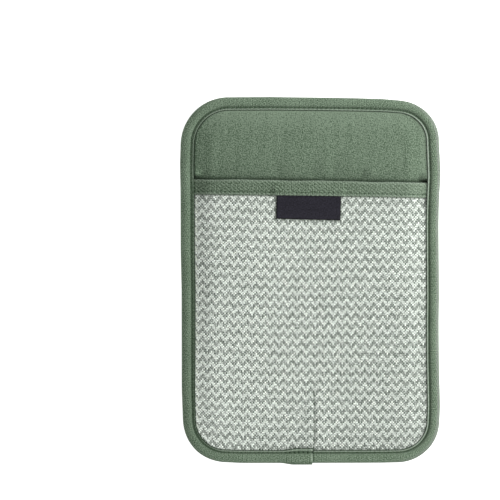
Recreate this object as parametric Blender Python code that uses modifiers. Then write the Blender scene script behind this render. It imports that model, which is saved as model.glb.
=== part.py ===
"""Pot holder with a pocket, lying on its ribbed silicone back with the pocket side up.

Run in Blender: blender --background --python part.py
Metres, +Z up, +Y towards the end with the hanging loop. The origin is on the surface that the pot holder
lies on, under the middle of its outline.

From the surface up, the layers are the ribbed silicone back, the padded body, and the pocket with the band
over its mouth and the blank label. The edge binding is rolled round all of them. The leather hanging loop
is folded flat under the back, its ends caught in the binding.
"""

import math

import bmesh
import bpy
import numpy as np

MM = 0.001

# ---- Driving dimensions ----

WIDTH = 179.2 * MM  # across the edge binding, before the outline's small unevenness
LENGTH = 254.1 * MM
GAP = 0.3 * MM  # between any two pieces that lie on each other

# Corner radii of the outline, seen from above.
RADIUS_TOP_RIGHT = 29.5 * MM
RADIUS_TOP_LEFT = 33.0 * MM
RADIUS_BOTTOM_LEFT = 29.8 * MM
RADIUS_BOTTOM_RIGHT = 29.0 * MM

# How far each edge strays outward from straight, in mm: (place along the edge, shift).
STRAY_RIGHT = (
    (-100, 0.3), (-88, 0.9), (-57, 0.1), (-28, -0.1), (-12, 0.2), (38, -0.2), (56, 0.1), (75, 1.3), (97, 0.2),
)
STRAY_LEFT = ((-103, -1.5), (-92, -1.1), (-76, -0.5), (-7, -0.4), (21, 0.2), (62, 0.3), (81, 0.7), (97, 0.2))
STRAY_TOP = ((-60, 0.0), (-28, 0.2), (14, -0.3), (34, -0.7), (52, -1.3), (62, -2.2))
STRAY_BOTTOM = ((-68, -0.8), (-58, -0.4), (-48, 0.1), (-20, 0.1), (30, 0.0), (50, -0.1), (62, -0.4))

# Ribbed silicone back.
RIB_PITCH = 7.09 * MM
RIB_COUNT = 34
RIB_FIRST_VALLEY = 114.1 * MM  # the groove nearest the loop end
RIB_HEIGHT = 2.6 * MM
SHEET_THICK = 1.0 * MM
# Half of a rib's section: (distance from its crest, height above the surface), in mm.
RIB_SECTION = ((1.1, 0.0), (2.1, 0.22), (2.85, 0.8), (3.3, 1.75))

# Padded body.
BODY_EDGE_THICK = 2.2 * MM  # squeezed flat in the binding
BODY_CROWN = 1.9 * MM  # how much thicker it is away from the binding
CROWN_FROM = 10.0 * MM  # distances from the outline where the crown starts and ends
CROWN_TO = 23.0 * MM
BODY_PINCH = 0.9 * MM  # squeezed further where the band's ends go into the binding
# Its rings from the underside's rim to the flat middle: (inside the layers' edge, in mm; share of height).
BODY_RINGS = (
    (0.5, 0.0), (0.0, 0.25), (0.0, 0.75), (0.6, 1.0), (5.0, 1.0),
    (9.0, 1.0), (12.5, 1.0), (16.0, 1.0), (19.5, 1.0), (23.0, 1.0),
)

# Pocket and its mouth.
POCKET_THICK = 1.3 * MM
POCKET_CLEAR = 0.5 * MM  # above the body where the pocket lies on it
POCKET_LIFT = 5.0 * MM  # how far the mouth stands open in the middle
POCKET_RISE_FROM = -100.0 * MM
POCKET_RISE_TO = 25.0 * MM
MOUTH_LEFT = 70.2 * MM  # height up the pot holder of the mouth's edge at each side
MOUTH_RIGHT = 67.8 * MM
BAND_HEIGHT = 10.9 * MM
BAND_BACK_HEIGHT = 9.2 * MM
BAND_THICK = 1.0 * MM
BAND_BESIDE = 1.5 * MM  # the pieces beside the band make room for it from here
BAND_FADE = 9.0 * MM  # over this distance

# Dart from the foot of the pocket: a sewn groove between two soft swells.
DART_X = 2.7 * MM
DART_TOP = -74.0 * MM
DART_DEPTH = 1.0 * MM
DART_GROOVE = 1.1 * MM  # half widths of the groove and of the swell
DART_SWELL = 1.1 * MM
DART_SPREAD = 7.0 * MM
DART_WANDER = 0.4 * MM  # sideways

# Label.
LABEL_WIDTH = 44.5 * MM
LABEL_HEIGHT = 16.2 * MM  # the part that shows
LABEL_TUCK = 2.4 * MM  # the part under the band
LABEL_THICK = 0.8 * MM
LABEL_X = -1.0 * MM
LABEL_TURN = math.radians(-1.3)

# Edge binding.
BINDING_WIDTH = 9.0 * MM  # from the outline to its sewn lip
BINDING_WALL = 1.3 * MM  # from the outline to its inner face
LIP_SHORT = 0.3 * MM  # how much shorter its inner faces are than its lip
LAP_FROM = -20.1 * MM  # its ends overlap here, at the bottom
LAP_TO = 1.7 * MM
LAP_GROWTH = 1.2 * MM
# Its section from the lower lip, round the edge, to the upper lip: (from the outline, above the upper or
# below the lower inner face), in mm. The last points of each half make the sewn groove and the lip.
LOWER_HALF = ((8.7, 0.95), (8.1, 1.1), (7.4, 0.7), (6.6, 1.1), (4.4, 1.45), (2.3, 1.15), (0.7, 0.1))
UPPER_HALF = ((0.8, 0.5), (2.4, 1.4), (4.4, 1.6), (6.5, 1.2), (7.4, 0.65), (8.1, 1.1), (8.75, 1.0))

# Hanging loop.
LOOP_LEG_WIDTH = 11.3 * MM
LOOP_THICK = 1.0 * MM
LOOP_LENGTH = 48.0 * MM  # from the binding's lip to the tip
LOOP_ROOT = 6.0 * MM  # the part inside the binding
LOOP_SLOPE = 7.0 * MM  # where it climbs from the surface into the binding
LOOP_TIP_SHIFT = 2.0 * MM
LOOP_SLIT = 0.4 * MM  # between the legs
LOOP_SLIT_END = 2.5 * MM  # its widest, near the tip
LOOP_SLIT_SHORT = 3.5 * MM  # how far it stops before the tip

# ---- Heights of the layers, worked out from the sizes above ----

SHEET_BOTTOM = RIB_HEIGHT
SHEET_TOP = SHEET_BOTTOM + SHEET_THICK
BODY_BOTTOM = SHEET_TOP + GAP
BODY_EDGE_TOP = BODY_BOTTOM + BODY_EDGE_THICK
LAYER_INSET = BINDING_WALL + GAP
BAND_ROOM = BAND_THICK + GAP
LIP_Y = LENGTH / 2 - BINDING_WIDTH
CORNER_STEPS = 9
PAST_ALL = (-5 * MM, 9 * MM)  # heights below and above all that the helpers cut
LAYER_WIDTH = WIDTH - 2 * LAYER_INSET
# Where the pocket's grid has its columns, as parts of that width from the middle: closer where it rises.
POCKET_COLUMNS = (0.5, 0.46, 0.447, 0.43, 0.404, 0.374, 0.338, 0.285, 0.215, 0.14, 0.085)
COLOURS = {
    "padded_body": ((109, 126, 107), 0.9),
    "silicone_back": ((85, 103, 83), 0.55),
    "pocket_panel": ((183, 191, 183), 0.9),
    "pocket_band": ((106, 123, 104), 0.88),
    "edge_binding": ((109, 126, 107), 0.88),
    "label": ((46, 48, 52), 0.8),
    "hanging_loop": ((150, 98, 68), 0.6),
}


# ---- Shapes shared by the pieces ----


def smooth(value, start, end):
    """0 before start, 1 after end, and an even S-curve between them."""
    t = np.clip((value - start) / (end - start), 0, 1)
    return t * t * (3 - 2 * t)


def stray(table, place):
    """The outward shift, in metres, of one edge at a place along it."""
    places, shifts = np.array(table, float).T * MM
    return np.interp(place, places, shifts)


def outline_runs():
    """Points and outward normals round the outline, anticlockwise, as a dict of its edges and corners."""
    half_w, half_l = WIDTH / 2, LENGTH / 2
    runs = {}
    plan = (  # edge, places along it, corner after it, centre signs, radius
        ("right", side_places(MOUTH_RIGHT), "top_right", (1, 1), RADIUS_TOP_RIGHT),
        ("top", top_places(), "top_left", (-1, 1), RADIUS_TOP_LEFT),
        ("left", side_places(MOUTH_LEFT)[::-1], "bottom_left", (-1, -1), RADIUS_BOTTOM_LEFT),
        ("bottom", bottom_places(), "bottom_right", (1, -1), RADIUS_BOTTOM_RIGHT),
    )
    for turn, (edge, places, corner, signs, radius) in enumerate(plan):
        places = np.array(places)
        ends = np.full(len(places), (half_w, half_l)[turn % 2] * signs[turn % 2])
        points = np.column_stack((ends, places) if turn % 2 == 0 else (places, ends))
        normal = ((signs[0], 0), (0, signs[1]))[turn % 2]
        runs[edge] = points, np.tile(normal, (len(places), 1))
        angles = math.radians(90) * (turn + np.arange(CORNER_STEPS + 1) / CORNER_STEPS)
        normals = np.column_stack([np.cos(angles), np.sin(angles)])
        centre = np.array(signs) * (half_w - radius, half_l - radius)
        runs[corner] = centre + radius * normals, normals
    for name, (points, normals) in runs.items():
        (x, y), (nx, ny) = points.T, normals.T
        shift = np.where(nx > 0, stray(STRAY_RIGHT, y), stray(STRAY_LEFT, y)) * np.abs(nx)
        shift = shift + np.where(ny > 0, stray(STRAY_TOP, x), stray(STRAY_BOTTOM, x)) * np.abs(ny)
        runs[name] = points + normals * shift[:, None], normals
    return runs


def side_places(band_high):
    """Places up a long edge, closer together at the mouth of the pocket."""
    band_low = band_high - BAND_HEIGHT
    low = np.linspace(-LENGTH / 2 + 44 * MM, band_low - 20 * MM, 8)
    fade = np.linspace(BAND_FADE, 0, 3) + BAND_BESIDE
    return (*low, *(band_low - fade), band_low + 4 * MM, band_high - 3 * MM, *(band_high + fade[::-1]))


def top_places():
    """Places along the top edge, right to left, with the loop's ends between them."""
    loop = (23 * MM, 17 * MM, 12.5 * MM)
    return (45 * MM, *loop, 0.0, *(-x for x in reversed(loop)), -40 * MM)


def bottom_places():
    """Places along the bottom edge, left to right, with a sharp step at the folded end of the lap."""
    lap = (LAP_FROM, LAP_FROM + 5 * MM, (LAP_FROM + LAP_TO) / 2, LAP_TO - 1.5 * MM, LAP_TO, LAP_TO + 0.5 * MM)
    return (-42 * MM, *lap, 25 * MM, 45 * MM)


def inset_loop(inset):
    """The outline moved inward by a distance."""
    return OUTLINE - NORMALS * np.reshape(inset, (-1, 1))


def edge_distance(x, y):
    """How far inside the outline a point lies, taken from its rounded rectangle."""
    radius = np.where(
        y > 0,
        np.where(x > 0, RADIUS_TOP_RIGHT, RADIUS_TOP_LEFT),
        np.where(x > 0, RADIUS_BOTTOM_RIGHT, RADIUS_BOTTOM_LEFT),
    )
    dx = np.abs(x) - (WIDTH / 2 - radius)
    dy = np.abs(y) - (LENGTH / 2 - radius)
    outside = np.hypot(np.maximum(dx, 0), np.maximum(dy, 0))
    return radius - outside - np.minimum(np.maximum(dx, dy), 0)


def mouth_y(x):
    """The upper edge of the pocket's band across the pot holder."""
    return MOUTH_LEFT + (MOUTH_RIGHT - MOUTH_LEFT) * (x / WIDTH + 0.5)


def up_to_band(x, y):
    """0 well below the band and 1 from just under it on up."""
    low = mouth_y(x) - BAND_HEIGHT - BAND_BESIDE
    return smooth(y, low - BAND_FADE, low)


def down_to_mouth(x, y):
    """0 well above the mouth and 1 from just over it on down."""
    high = mouth_y(x) + BAND_BESIDE
    return smooth(y, high + BAND_FADE, high)


def body_top(x, y, distance=None):
    """Height of the padded body: flat in the binding, crowned inside it."""
    inside = edge_distance(x, y) if distance is None else distance
    crown = smooth(inside, CROWN_FROM, CROWN_TO)
    pinch = BODY_PINCH * (1 - crown) * up_to_band(x, y) * down_to_mouth(x, y)
    return BODY_EDGE_TOP + BODY_CROWN * crown - pinch


def dart(x, y):
    """Height that the dart adds: a narrow groove with a soft swell on each side, fading at its top."""
    across = x - DART_X - DART_WANDER * np.sin(y / (9 * MM))
    swell = DART_SWELL * np.exp(-((across / DART_SPREAD) ** 2)) * smooth(y, DART_TOP, DART_TOP - 16 * MM)
    groove = DART_DEPTH * np.exp(-((across / DART_GROOVE) ** 2)) * smooth(y, DART_TOP, DART_TOP - 5 * MM)
    return swell - groove


def pocket_bottom(x, y):
    """Height of the pocket cloth's under face: on the body at three sides, lifted towards its mouth."""
    width = WIDTH / 2 - BINDING_WIDTH - 0.6 * MM
    arch = np.clip(1 - (np.abs(x) / width) ** 4, 0, 1) * smooth(y, POCKET_RISE_FROM, POCKET_RISE_TO)
    folds = dart(x, y) * smooth(edge_distance(x, y), BINDING_WIDTH + 1 * MM, BINDING_WIDTH + 5 * MM)
    lift = BAND_ROOM * up_to_band(x, y) + POCKET_LIFT * arch + np.maximum(folds, 0)
    return body_top(x, y) + POCKET_CLEAR + lift


def label_lift(x):
    """How far the band's lower edge is lifted by the label tucked under it."""
    beside = np.abs(x - LABEL_X) - LABEL_WIDTH / 2
    return (LABEL_THICK + 1.5 * GAP) * (1 - smooth(beside, 0.8 * MM, 4 * MM))


# ---- Blender helpers ----


def linear(value):
    """One channel of an sRGB colour, 0 to 255, in the linear scale that materials take."""
    c = value / 255
    return c / 12.92 if c <= 0.04045 else ((c + 0.055) / 1.055) ** 2.4


def material_for(name):
    """The piece's own Principled material."""
    colour, roughness = COLOURS[name]
    material = bpy.data.materials.new(name)
    material.use_nodes = True
    surface = material.node_tree.nodes["Principled BSDF"]
    surface.inputs["Base Color"].default_value = (*map(linear, colour), 1)
    surface.inputs["Roughness"].default_value = roughness
    surface.inputs["Metallic"].default_value = 0.0
    return material


def new_object(name, bm, collection):
    """Turns a bmesh into a named object in a collection."""
    bmesh.ops.recalc_face_normals(bm, faces=bm.faces)
    mesh = bpy.data.meshes.new(name)
    bm.to_mesh(mesh)
    bm.free()
    obj = bpy.data.objects.new(name, mesh)
    collection.objects.link(obj)
    if name in COLOURS:
        mesh.materials.append(material_for(name))
    return obj


def loft(rings, closed_path=False):
    """A bmesh skinned over equal rings of points, joined end to end or capped with flat faces."""
    bm = bmesh.new()
    rows = [[bm.verts.new(point) for point in ring] for ring in rings]
    pairs = list(zip(rows, rows[1:]))
    if closed_path:
        pairs.append((rows[-1], rows[0]))
    else:
        bm.faces.new(reversed(rows[0]))
        bm.faces.new(rows[-1])
    count = len(rows[0])
    for low, high in pairs:
        for i in range(count):
            j = (i + 1) % count
            bm.faces.new((low[i], low[j], high[j], high[i]))
    return bm


def level_ring(points, height):
    """Plan points lifted to a height, which may be one number or one for each point."""
    return np.column_stack([points, np.broadcast_to(height, len(points))])


def prism(points, low, high):
    """A bmesh of a plan outline between two heights."""
    return loft([level_ring(np.array(points), low), level_ring(np.array(points), high)])


def formula_grid(columns, rows, place):
    """A bmesh grid whose vertices are moved to place(u, v), with u and v running from 0 to 1."""
    bm = bmesh.new()
    bmesh.ops.create_grid(bm, x_segments=columns, y_segments=rows, size=0.5)
    for vert in bm.verts:
        vert.co = place(vert.co.x + 0.5, vert.co.y + 0.5)
    return bm


def solidify(obj, thickness):
    """Gives an open surface its thickness above it."""
    modifier = obj.modifiers.new("Thickness", "SOLIDIFY")
    modifier.thickness = thickness
    modifier.offset = 1.0
    modifier.use_even_offset = True
    return modifier


def boolean(obj, operation, cutter):
    """A Boolean by a cutter object, which is hidden."""
    modifier = obj.modifiers.new(cutter.name, "BOOLEAN")
    modifier.operation = operation
    modifier.solver = "EXACT"
    modifier.object = cutter
    cutter.hide_render = True
    cutter.display_type = "WIRE"


def shade(obj, degrees=35):
    """Smooth shading with the sharp edges kept."""
    obj.data.shade_smooth()
    obj.data.set_sharp_from_angle(angle=math.radians(degrees))


# ---- Pieces ----


def make_padded_body(parts):
    """Rings of the outline, squeezed flat in the binding and rising to a crowned middle."""
    rings = []
    for further_in, share in BODY_RINGS:
        inset = LAYER_INSET + further_in * MM
        plan = inset_loop(inset)
        top = body_top(*plan.T, distance=inset)
        rings.append(level_ring(plan, BODY_BOTTOM + (top - BODY_BOTTOM) * share))
    shade(new_object("padded_body", loft(rings), parts))


def rib_profile():
    """The ribs' section along Y, closed above inside the sheet: a list of (y, z)."""
    half = np.array(RIB_SECTION) * MM
    first_crest = RIB_FIRST_VALLEY + RIB_PITCH / 2
    points = [(first_crest + RIB_PITCH / 2, SHEET_BOTTOM)]
    for i in range(RIB_COUNT):
        crest = first_crest - i * RIB_PITCH
        points += [(crest + y, z) for y, z in half[::-1]]
        points += [(crest - y, z) for y, z in half]
        points.append((crest - RIB_PITCH / 2, SHEET_BOTTOM))
    inside = SHEET_BOTTOM + SHEET_THICK / 2
    return [(points[0][0], inside), *points, (points[-1][0], inside)]


def loop_plan(margin=0.0):
    """The loop seen from above: two legs side by side with a pointed end."""
    half = LOOP_LEG_WIDTH + LOOP_SLIT / 2 + margin
    point_from = LIP_Y - LOOP_LENGTH + LOOP_LEG_WIDTH
    point_from -= (math.sqrt(2) - 1) * margin
    tip = LIP_Y - LOOP_LENGTH - math.sqrt(2) * margin
    top = LIP_Y + LOOP_ROOT + margin
    return [(-half, top), (-half, point_from), (LOOP_TIP_SHIFT, tip), (half, point_from), (half, top)]


def loop_triangle(margin=0.0):
    """The folded-over corner of the strap behind the tip."""
    _, (left, y), (tip_x, tip_y), (right, _), _ = loop_plan()
    wide = (1 + math.sqrt(2)) * margin
    return [(left - wide, y + margin), (tip_x, tip_y - math.sqrt(2) * margin), (right + wide, y + margin)]


def make_silicone_back(parts, cutters):
    """Straight ribs, cut off inside the binding, joined to the sheet that they are moulded on."""
    profile = rib_profile()
    ribs = [[(x, y, z) for y, z in profile] for x in (-WIDTH / 2, WIDTH / 2)]
    back = new_object("silicone_back", loft(ribs), parts)
    inner = inset_loop(BINDING_WIDTH + GAP)
    sheet = inset_loop(LAYER_INSET)
    boolean(back, "INTERSECT", new_object("rib_area", prism(inner, *PAST_ALL), cutters))
    boolean(back, "UNION", new_object("sheet", prism(sheet, SHEET_BOTTOM, SHEET_TOP), cutters))
    # The loop presses the ribs flat: a little along its legs, nearly all at its tip and its ends.
    root = [(x, y) for x, y in loop_plan(GAP) if y > LIP_Y]
    root += [(x, LIP_Y - LOOP_SLOPE - 1 * MM) for x, _ in reversed(root)]
    dents = (
        ("dent_legs", loop_plan(GAP), LOOP_THICK + GAP),
        ("dent_tip", loop_triangle(1 * MM), 2 * LOOP_THICK + GAP),
        ("dent_root", root, SHEET_BOTTOM - 0.02 * MM),
    )
    for name, plan, height in dents:
        boolean(back, "DIFFERENCE", new_object(name, prism(plan, PAST_ALL[0], height), cutters))


def pocket_side(edge, corner, mouth):
    """The pocket's boundary up one side, from the foot of a lower corner to the mouth."""
    points, normals = (np.concatenate(pair) for pair in zip(RUNS[corner], RUNS[edge]))
    if edge == "left":
        points, normals = (np.concatenate(pair)[::-1] for pair in zip(RUNS[edge], RUNS[corner]))
    points = points - normals * LAYER_INSET
    end = mouth - BAND_THICK - 2 * GAP
    below = points[points[:, 1] < end - 1 * MM]
    return np.vstack([below, (np.interp(end, points[:, 1], points[:, 0]), end)])


def make_pocket_panel(parts):
    """A grid from side to side, its rows running between the two edges and round the lower corners."""
    left = pocket_side("left", "bottom_left", MOUTH_LEFT)
    right = pocket_side("right", "bottom_right", MOUTH_RIGHT)
    columns = np.array(POCKET_COLUMNS)
    near_dart = (DART_X + np.array((-8, -5, -2.6, -1.1, 0, 1.1, 2.6, 5, 8)) * MM) / LAYER_WIDTH
    columns = np.sort(np.concatenate([-columns, near_dart, columns])) + 0.5
    grid = np.stack([(1 - c) * left + c * right for c in columns])

    def place(u, v):
        """The grid's own corners, reached by even steps of u and v."""
        x, y = grid[round(u * (len(columns) - 1)), round(v * (len(left) - 1))]
        return x, y, float(pocket_bottom(x, y))

    panel = new_object("pocket_panel", formula_grid(len(columns) - 1, len(left) - 1, place), parts)
    solidify(panel, POCKET_THICK)
    shade(panel)


def band_section(x):
    """The folded strip across the pocket's edge at one place: front leaf, fold and back leaf."""
    top = mouth_y(x)
    under = pocket_bottom(x, top - 4 * MM) - GAP
    rise = pocket_bottom(x + MM, top - 4 * MM) - pocket_bottom(x - MM, top - 4 * MM)
    over = under + POCKET_THICK * math.hypot(1, rise / (2 * MM)) + 2 * GAP
    low, back_low = top - BAND_HEIGHT, top - BAND_BACK_HEIGHT
    lift = label_lift(x)
    t = BAND_THICK
    middle = (under + over) / 2
    front_tuck = low + LABEL_TUCK + 1.5 * MM
    return [
        (low, over + lift),
        (front_tuck, over + lift),
        (top - 1.4 * t, over),
        (top - t, over - 0.2 * t),
        (top - t, under + 0.2 * t),
        (top - 1.4 * t, under),
        (back_low, under),
        (back_low, under - t),
        (top - 1.8 * t, under - t),
        (top - 0.4 * t, under - 0.35 * t),
        (top, middle),
        (top - 0.4 * t, over + 0.35 * t),
        (top - 1.8 * t, over + t),
        (front_tuck, over + t + lift),
        (low + 0.5 * t, over + t + lift),
        (low, over + 0.6 * t + lift),
    ]


def make_pocket_band(parts):
    """The strip's section carried along the mouth, into the binding at both ends."""
    beside = LABEL_WIDTH / 2 + np.array((0.0, 2.4, 5.0)) * MM
    columns = np.array(POCKET_COLUMNS) * LAYER_WIDTH
    stations = np.concatenate([-columns, columns, LABEL_X - beside, LABEL_X + beside])
    rings = [[(x, y, z) for y, z in band_section(x)] for x in np.unique(np.round(stations, 5))]
    shade(new_object("pocket_band", loft(rings), parts))


def make_label(parts):
    """A thin blank strip on the pocket's face, its top edge under the band."""
    cos, sin = math.cos(LABEL_TURN), math.sin(LABEL_TURN)
    top = mouth_y(LABEL_X) - BAND_HEIGHT

    def place(u, v):
        """A turned rectangle on the pocket, its top edge tucked in."""
        across = (u - 0.5) * LABEL_WIDTH
        up = LABEL_TUCK - (1 - v) * (LABEL_HEIGHT + LABEL_TUCK)
        x = LABEL_X + across * cos - up * sin
        y = top + across * sin + up * cos
        return x, y, float(pocket_bottom(x, y)) + POCKET_THICK + 1.5 * GAP

    label = new_object("label", formula_grid(12, 5, place), parts)
    solidify(label, LABEL_THICK)


def binding_faces(x, y):
    """Heights of the binding's upper and lower inner faces beside the layers that it holds."""
    pocket = down_to_mouth(x, y)
    band = up_to_band(x, y) * pocket
    upper = BODY_EDGE_TOP - BODY_PINCH * band + GAP
    upper = upper + (POCKET_CLEAR + POCKET_THICK) * pocket + 2 * BAND_ROOM * band
    at_loop = np.where(y > LIP_Y, 1 - smooth(np.abs(x), 13 * MM, 22 * MM), 0)
    lower = SHEET_BOTTOM - GAP - (LOOP_THICK + GAP) * at_loop
    return upper, lower


def make_edge_binding(parts):
    """The rolled tape's section carried round the outline, thicker where its ends overlap."""
    x, y = OUTLINE.T
    upper, lower = binding_faces(x, y)
    lap = smooth(x, LAP_FROM, LAP_FROM + 5 * MM) * (x < LAP_TO + 0.1 * MM) * (y < 0)
    wall = ((0.0, -0.55), (0.0, 0.55))
    rings = []
    for i in range(len(OUTLINE)):
        middle = (upper[i] + lower[i]) / 2
        grow = LAP_GROWTH * lap[i]
        section = [(d * MM, max(lower[i] - h * MM, 0)) for d, h in LOWER_HALF]
        section += [(d, middle + h * (upper[i] - lower[i]) / 2) for d, h in wall]
        section += [(d * MM, upper[i] + h * MM + 0.6 * grow) for d, h in UPPER_HALF]
        section = [(d - grow * (1 - d / BINDING_WIDTH), h) for d, h in section]
        section += [(BINDING_WIDTH, upper[i] + LIP_SHORT), (BINDING_WIDTH - LIP_SHORT, upper[i])]
        section += [(BINDING_WALL, upper[i]), (BINDING_WALL, lower[i])]
        section += [(BINDING_WIDTH - LIP_SHORT, lower[i])]
        plan = OUTLINE[i] - np.outer([d for d, _ in section], NORMALS[i])
        rings.append(level_ring(plan, [h for _, h in section]))
    shade(new_object("edge_binding", loft(rings, closed_path=True), parts), 50)


def make_hanging_loop(parts, cutters):
    """A strap bent to climb into the binding, cut to two legs and a point, with the corner behind it."""
    tip = LIP_Y - LOOP_LENGTH - 2 * MM
    climb = SHEET_BOTTOM - LOOP_THICK - GAP
    under = [(tip, 0), (LIP_Y - LOOP_SLOPE, 0), (LIP_Y - 1 * MM, climb), (LIP_Y + LOOP_ROOT, climb)]
    profile = under + [(y, z + LOOP_THICK) for y, z in reversed(under)]
    half = LOOP_LEG_WIDTH + 2 * MM
    loop = new_object("hanging_loop", loft([[(x, y, z) for y, z in profile] for x in (-half, half)]), parts)
    plan = new_object("loop_outline", prism(loop_plan(), *PAST_ALL), cutters)
    slit_end = LIP_Y - LOOP_LENGTH + LOOP_SLIT_SHORT
    slit_rows = (  # middle, width, height up the loop
        (0, LOOP_SLIT, LIP_Y + 2 * LOOP_ROOT),
        (0, LOOP_SLIT, LIP_Y - LOOP_LENGTH / 3),
        (LOOP_TIP_SHIFT, LOOP_SLIT_END, slit_end + LOOP_SLIT_END),
    )
    slit = [(x - width / 2, y) for x, width, y in slit_rows]
    slit += [(LOOP_TIP_SHIFT, slit_end)]
    slit += [(x + width / 2, y) for x, width, y in reversed(slit_rows)]
    corner = prism(loop_triangle(), LOOP_THICK / 2, 2 * LOOP_THICK)
    boolean(loop, "INTERSECT", plan)
    boolean(loop, "DIFFERENCE", new_object("loop_slit", prism(slit, *PAST_ALL), cutters))
    boolean(loop, "UNION", new_object("loop_corner", corner, cutters))


def new_collection(name):
    """A collection linked to the scene."""
    collection = bpy.data.collections.new(name)
    bpy.context.scene.collection.children.link(collection)
    return collection


def make_pot_holder():
    """Clears the scene, makes every piece, and centres them by parenting them to an empty."""
    for old in list(bpy.data.objects):
        bpy.data.objects.remove(old)
    parts = new_collection("pot_holder")
    cutters = new_collection("cutters")
    cutters.hide_render = True
    make_padded_body(parts)
    make_silicone_back(parts, cutters)
    make_pocket_panel(parts)
    make_pocket_band(parts)
    make_label(parts)
    make_edge_binding(parts)
    make_hanging_loop(parts, cutters)
    low, high = OUTLINE.min(0), OUTLINE.max(0)
    low[1] -= LAP_GROWTH
    centre = bpy.data.objects.new("centre", None)
    centre.location = (*(-(low + high) / 2), 0)
    for obj in [*parts.objects, *cutters.objects]:
        obj.parent = centre
    parts.objects.link(centre)


RUNS = outline_runs()
OUTLINE, NORMALS = (np.concatenate(parts) for parts in zip(*RUNS.values()))
make_pot_holder()
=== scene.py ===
# %% [markdown]
# # A pot holder with a hand pocket
#
# The pot holder lies on its ribbed silicone back with the pocket side up, seen from straight above on a white
# table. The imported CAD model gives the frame: where every layer lies and how thick it is. This script lays a
# finer piece over each of its seven solids. Every piece is a surface worked out with numpy, and every finish
# is made of shader nodes.
#
# The first cell loads the frame and keeps its box, because the dressed pot holder must stay in it.

# %% Start
import math

import bpy
import numpy as np
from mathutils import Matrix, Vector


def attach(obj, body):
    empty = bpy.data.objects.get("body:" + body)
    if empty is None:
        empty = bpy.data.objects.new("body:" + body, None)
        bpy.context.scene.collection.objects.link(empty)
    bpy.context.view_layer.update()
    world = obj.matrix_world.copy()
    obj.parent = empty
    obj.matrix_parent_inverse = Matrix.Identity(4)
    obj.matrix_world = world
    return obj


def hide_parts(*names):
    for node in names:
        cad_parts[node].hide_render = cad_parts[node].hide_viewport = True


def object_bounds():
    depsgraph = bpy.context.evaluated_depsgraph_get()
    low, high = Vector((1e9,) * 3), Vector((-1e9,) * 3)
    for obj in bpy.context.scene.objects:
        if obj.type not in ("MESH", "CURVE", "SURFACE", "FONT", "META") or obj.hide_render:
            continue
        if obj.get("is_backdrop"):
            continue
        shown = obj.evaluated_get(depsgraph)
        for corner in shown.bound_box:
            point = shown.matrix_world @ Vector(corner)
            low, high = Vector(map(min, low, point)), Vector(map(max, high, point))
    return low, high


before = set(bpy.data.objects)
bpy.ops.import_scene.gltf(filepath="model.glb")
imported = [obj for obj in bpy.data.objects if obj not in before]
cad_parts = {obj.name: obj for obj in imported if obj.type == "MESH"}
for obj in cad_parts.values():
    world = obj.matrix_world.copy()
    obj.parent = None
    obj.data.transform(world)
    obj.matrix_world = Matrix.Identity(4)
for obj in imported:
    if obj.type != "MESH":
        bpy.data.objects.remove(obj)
CAD_BOX = [list(corner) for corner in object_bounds()]
print("CAD nodes:", ", ".join(sorted(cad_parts)))

# %% [markdown]
# ## Sizes
#
# These are the sizes that the solids were made with. Repeating them here lets each new surface follow its
# solid by the same rule instead of copying its points. The frame could also be measured, but a box says
# nothing about how a cloth rises between its edges.

# %% Sizes of the layers
MM = 0.001
GAP = 0.3 * MM  # between pieces that lie on each other
WIDTH, LENGTH = 179.2 * MM, 254.1 * MM
RADII = {  # by the corner's signs
    (1, 1): 29.5 * MM, (-1, 1): 33.0 * MM, (-1, -1): 29.8 * MM, (1, -1): 29.0 * MM,
}

RIB_PITCH, RIB_COUNT, RIB_HEIGHT, SHEET_THICK = 7.09 * MM, 34, 2.6 * MM, 1.0 * MM
RIB_FIRST_VALLEY = 114.1 * MM
BODY_EDGE_THICK, BODY_CROWN, BODY_PINCH = 2.2 * MM, 1.9 * MM, 0.9 * MM
CROWN_FROM, CROWN_TO = 10.0 * MM, 23.0 * MM
POCKET_THICK, POCKET_CLEAR, POCKET_LIFT = 1.3 * MM, 0.5 * MM, 5.0 * MM
POCKET_RISE_FROM, POCKET_RISE_TO = -100.0 * MM, 25.0 * MM
MOUTH_LEFT, MOUTH_RIGHT = 70.2 * MM, 67.8 * MM
BAND_HEIGHT, BAND_BACK_HEIGHT, BAND_THICK = 10.9 * MM, 9.2 * MM, 1.0 * MM
BAND_BESIDE, BAND_FADE = 1.5 * MM, 9.0 * MM
DART_X, DART_TOP = 2.7 * MM, -74.0 * MM
LABEL_WIDTH, LABEL_HEIGHT, LABEL_TUCK, LABEL_THICK = 44.5 * MM, 16.2 * MM, 2.4 * MM, 0.8 * MM
LABEL_X, LABEL_TURN = -1.0 * MM, math.radians(-1.3)
BINDING_WIDTH, BINDING_WALL, LIP_SHORT = 9.0 * MM, 1.3 * MM, 0.3 * MM
LAP_FROM, LAP_TO, LAP_GROWTH = -20.1 * MM, 1.7 * MM, 1.2 * MM
LOOP_LEG_WIDTH, LOOP_THICK, LOOP_LENGTH, LOOP_ROOT = 11.3 * MM, 1.0 * MM, 48.0 * MM, 6.0 * MM
LOOP_SLOPE, LOOP_TIP_SHIFT = 7.0 * MM, 2.0 * MM

SHEET_BOTTOM = RIB_HEIGHT
SHEET_TOP = SHEET_BOTTOM + SHEET_THICK
BODY_BOTTOM = SHEET_TOP + GAP
BODY_EDGE_TOP = BODY_BOTTOM + BODY_EDGE_THICK
LAYER_INSET = BINDING_WALL + GAP
BAND_ROOM = BAND_THICK + GAP
LIP_Y = LENGTH / 2 - BINDING_WIDTH
LOOP_HALF, LOOP_TIP_Y = LOOP_LEG_WIDTH + 0.2 * MM, LIP_Y - LOOP_LENGTH  # half its width, and where it ends
STITCH = 3.1 * MM  # from one needle hole to the next, in every sewn row
TURN = 2 * math.pi
print(f"Pot holder {WIDTH / MM:.1f} x {LENGTH / MM:.1f} mm, sewn every {STITCH / MM:.1f} mm")

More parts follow.
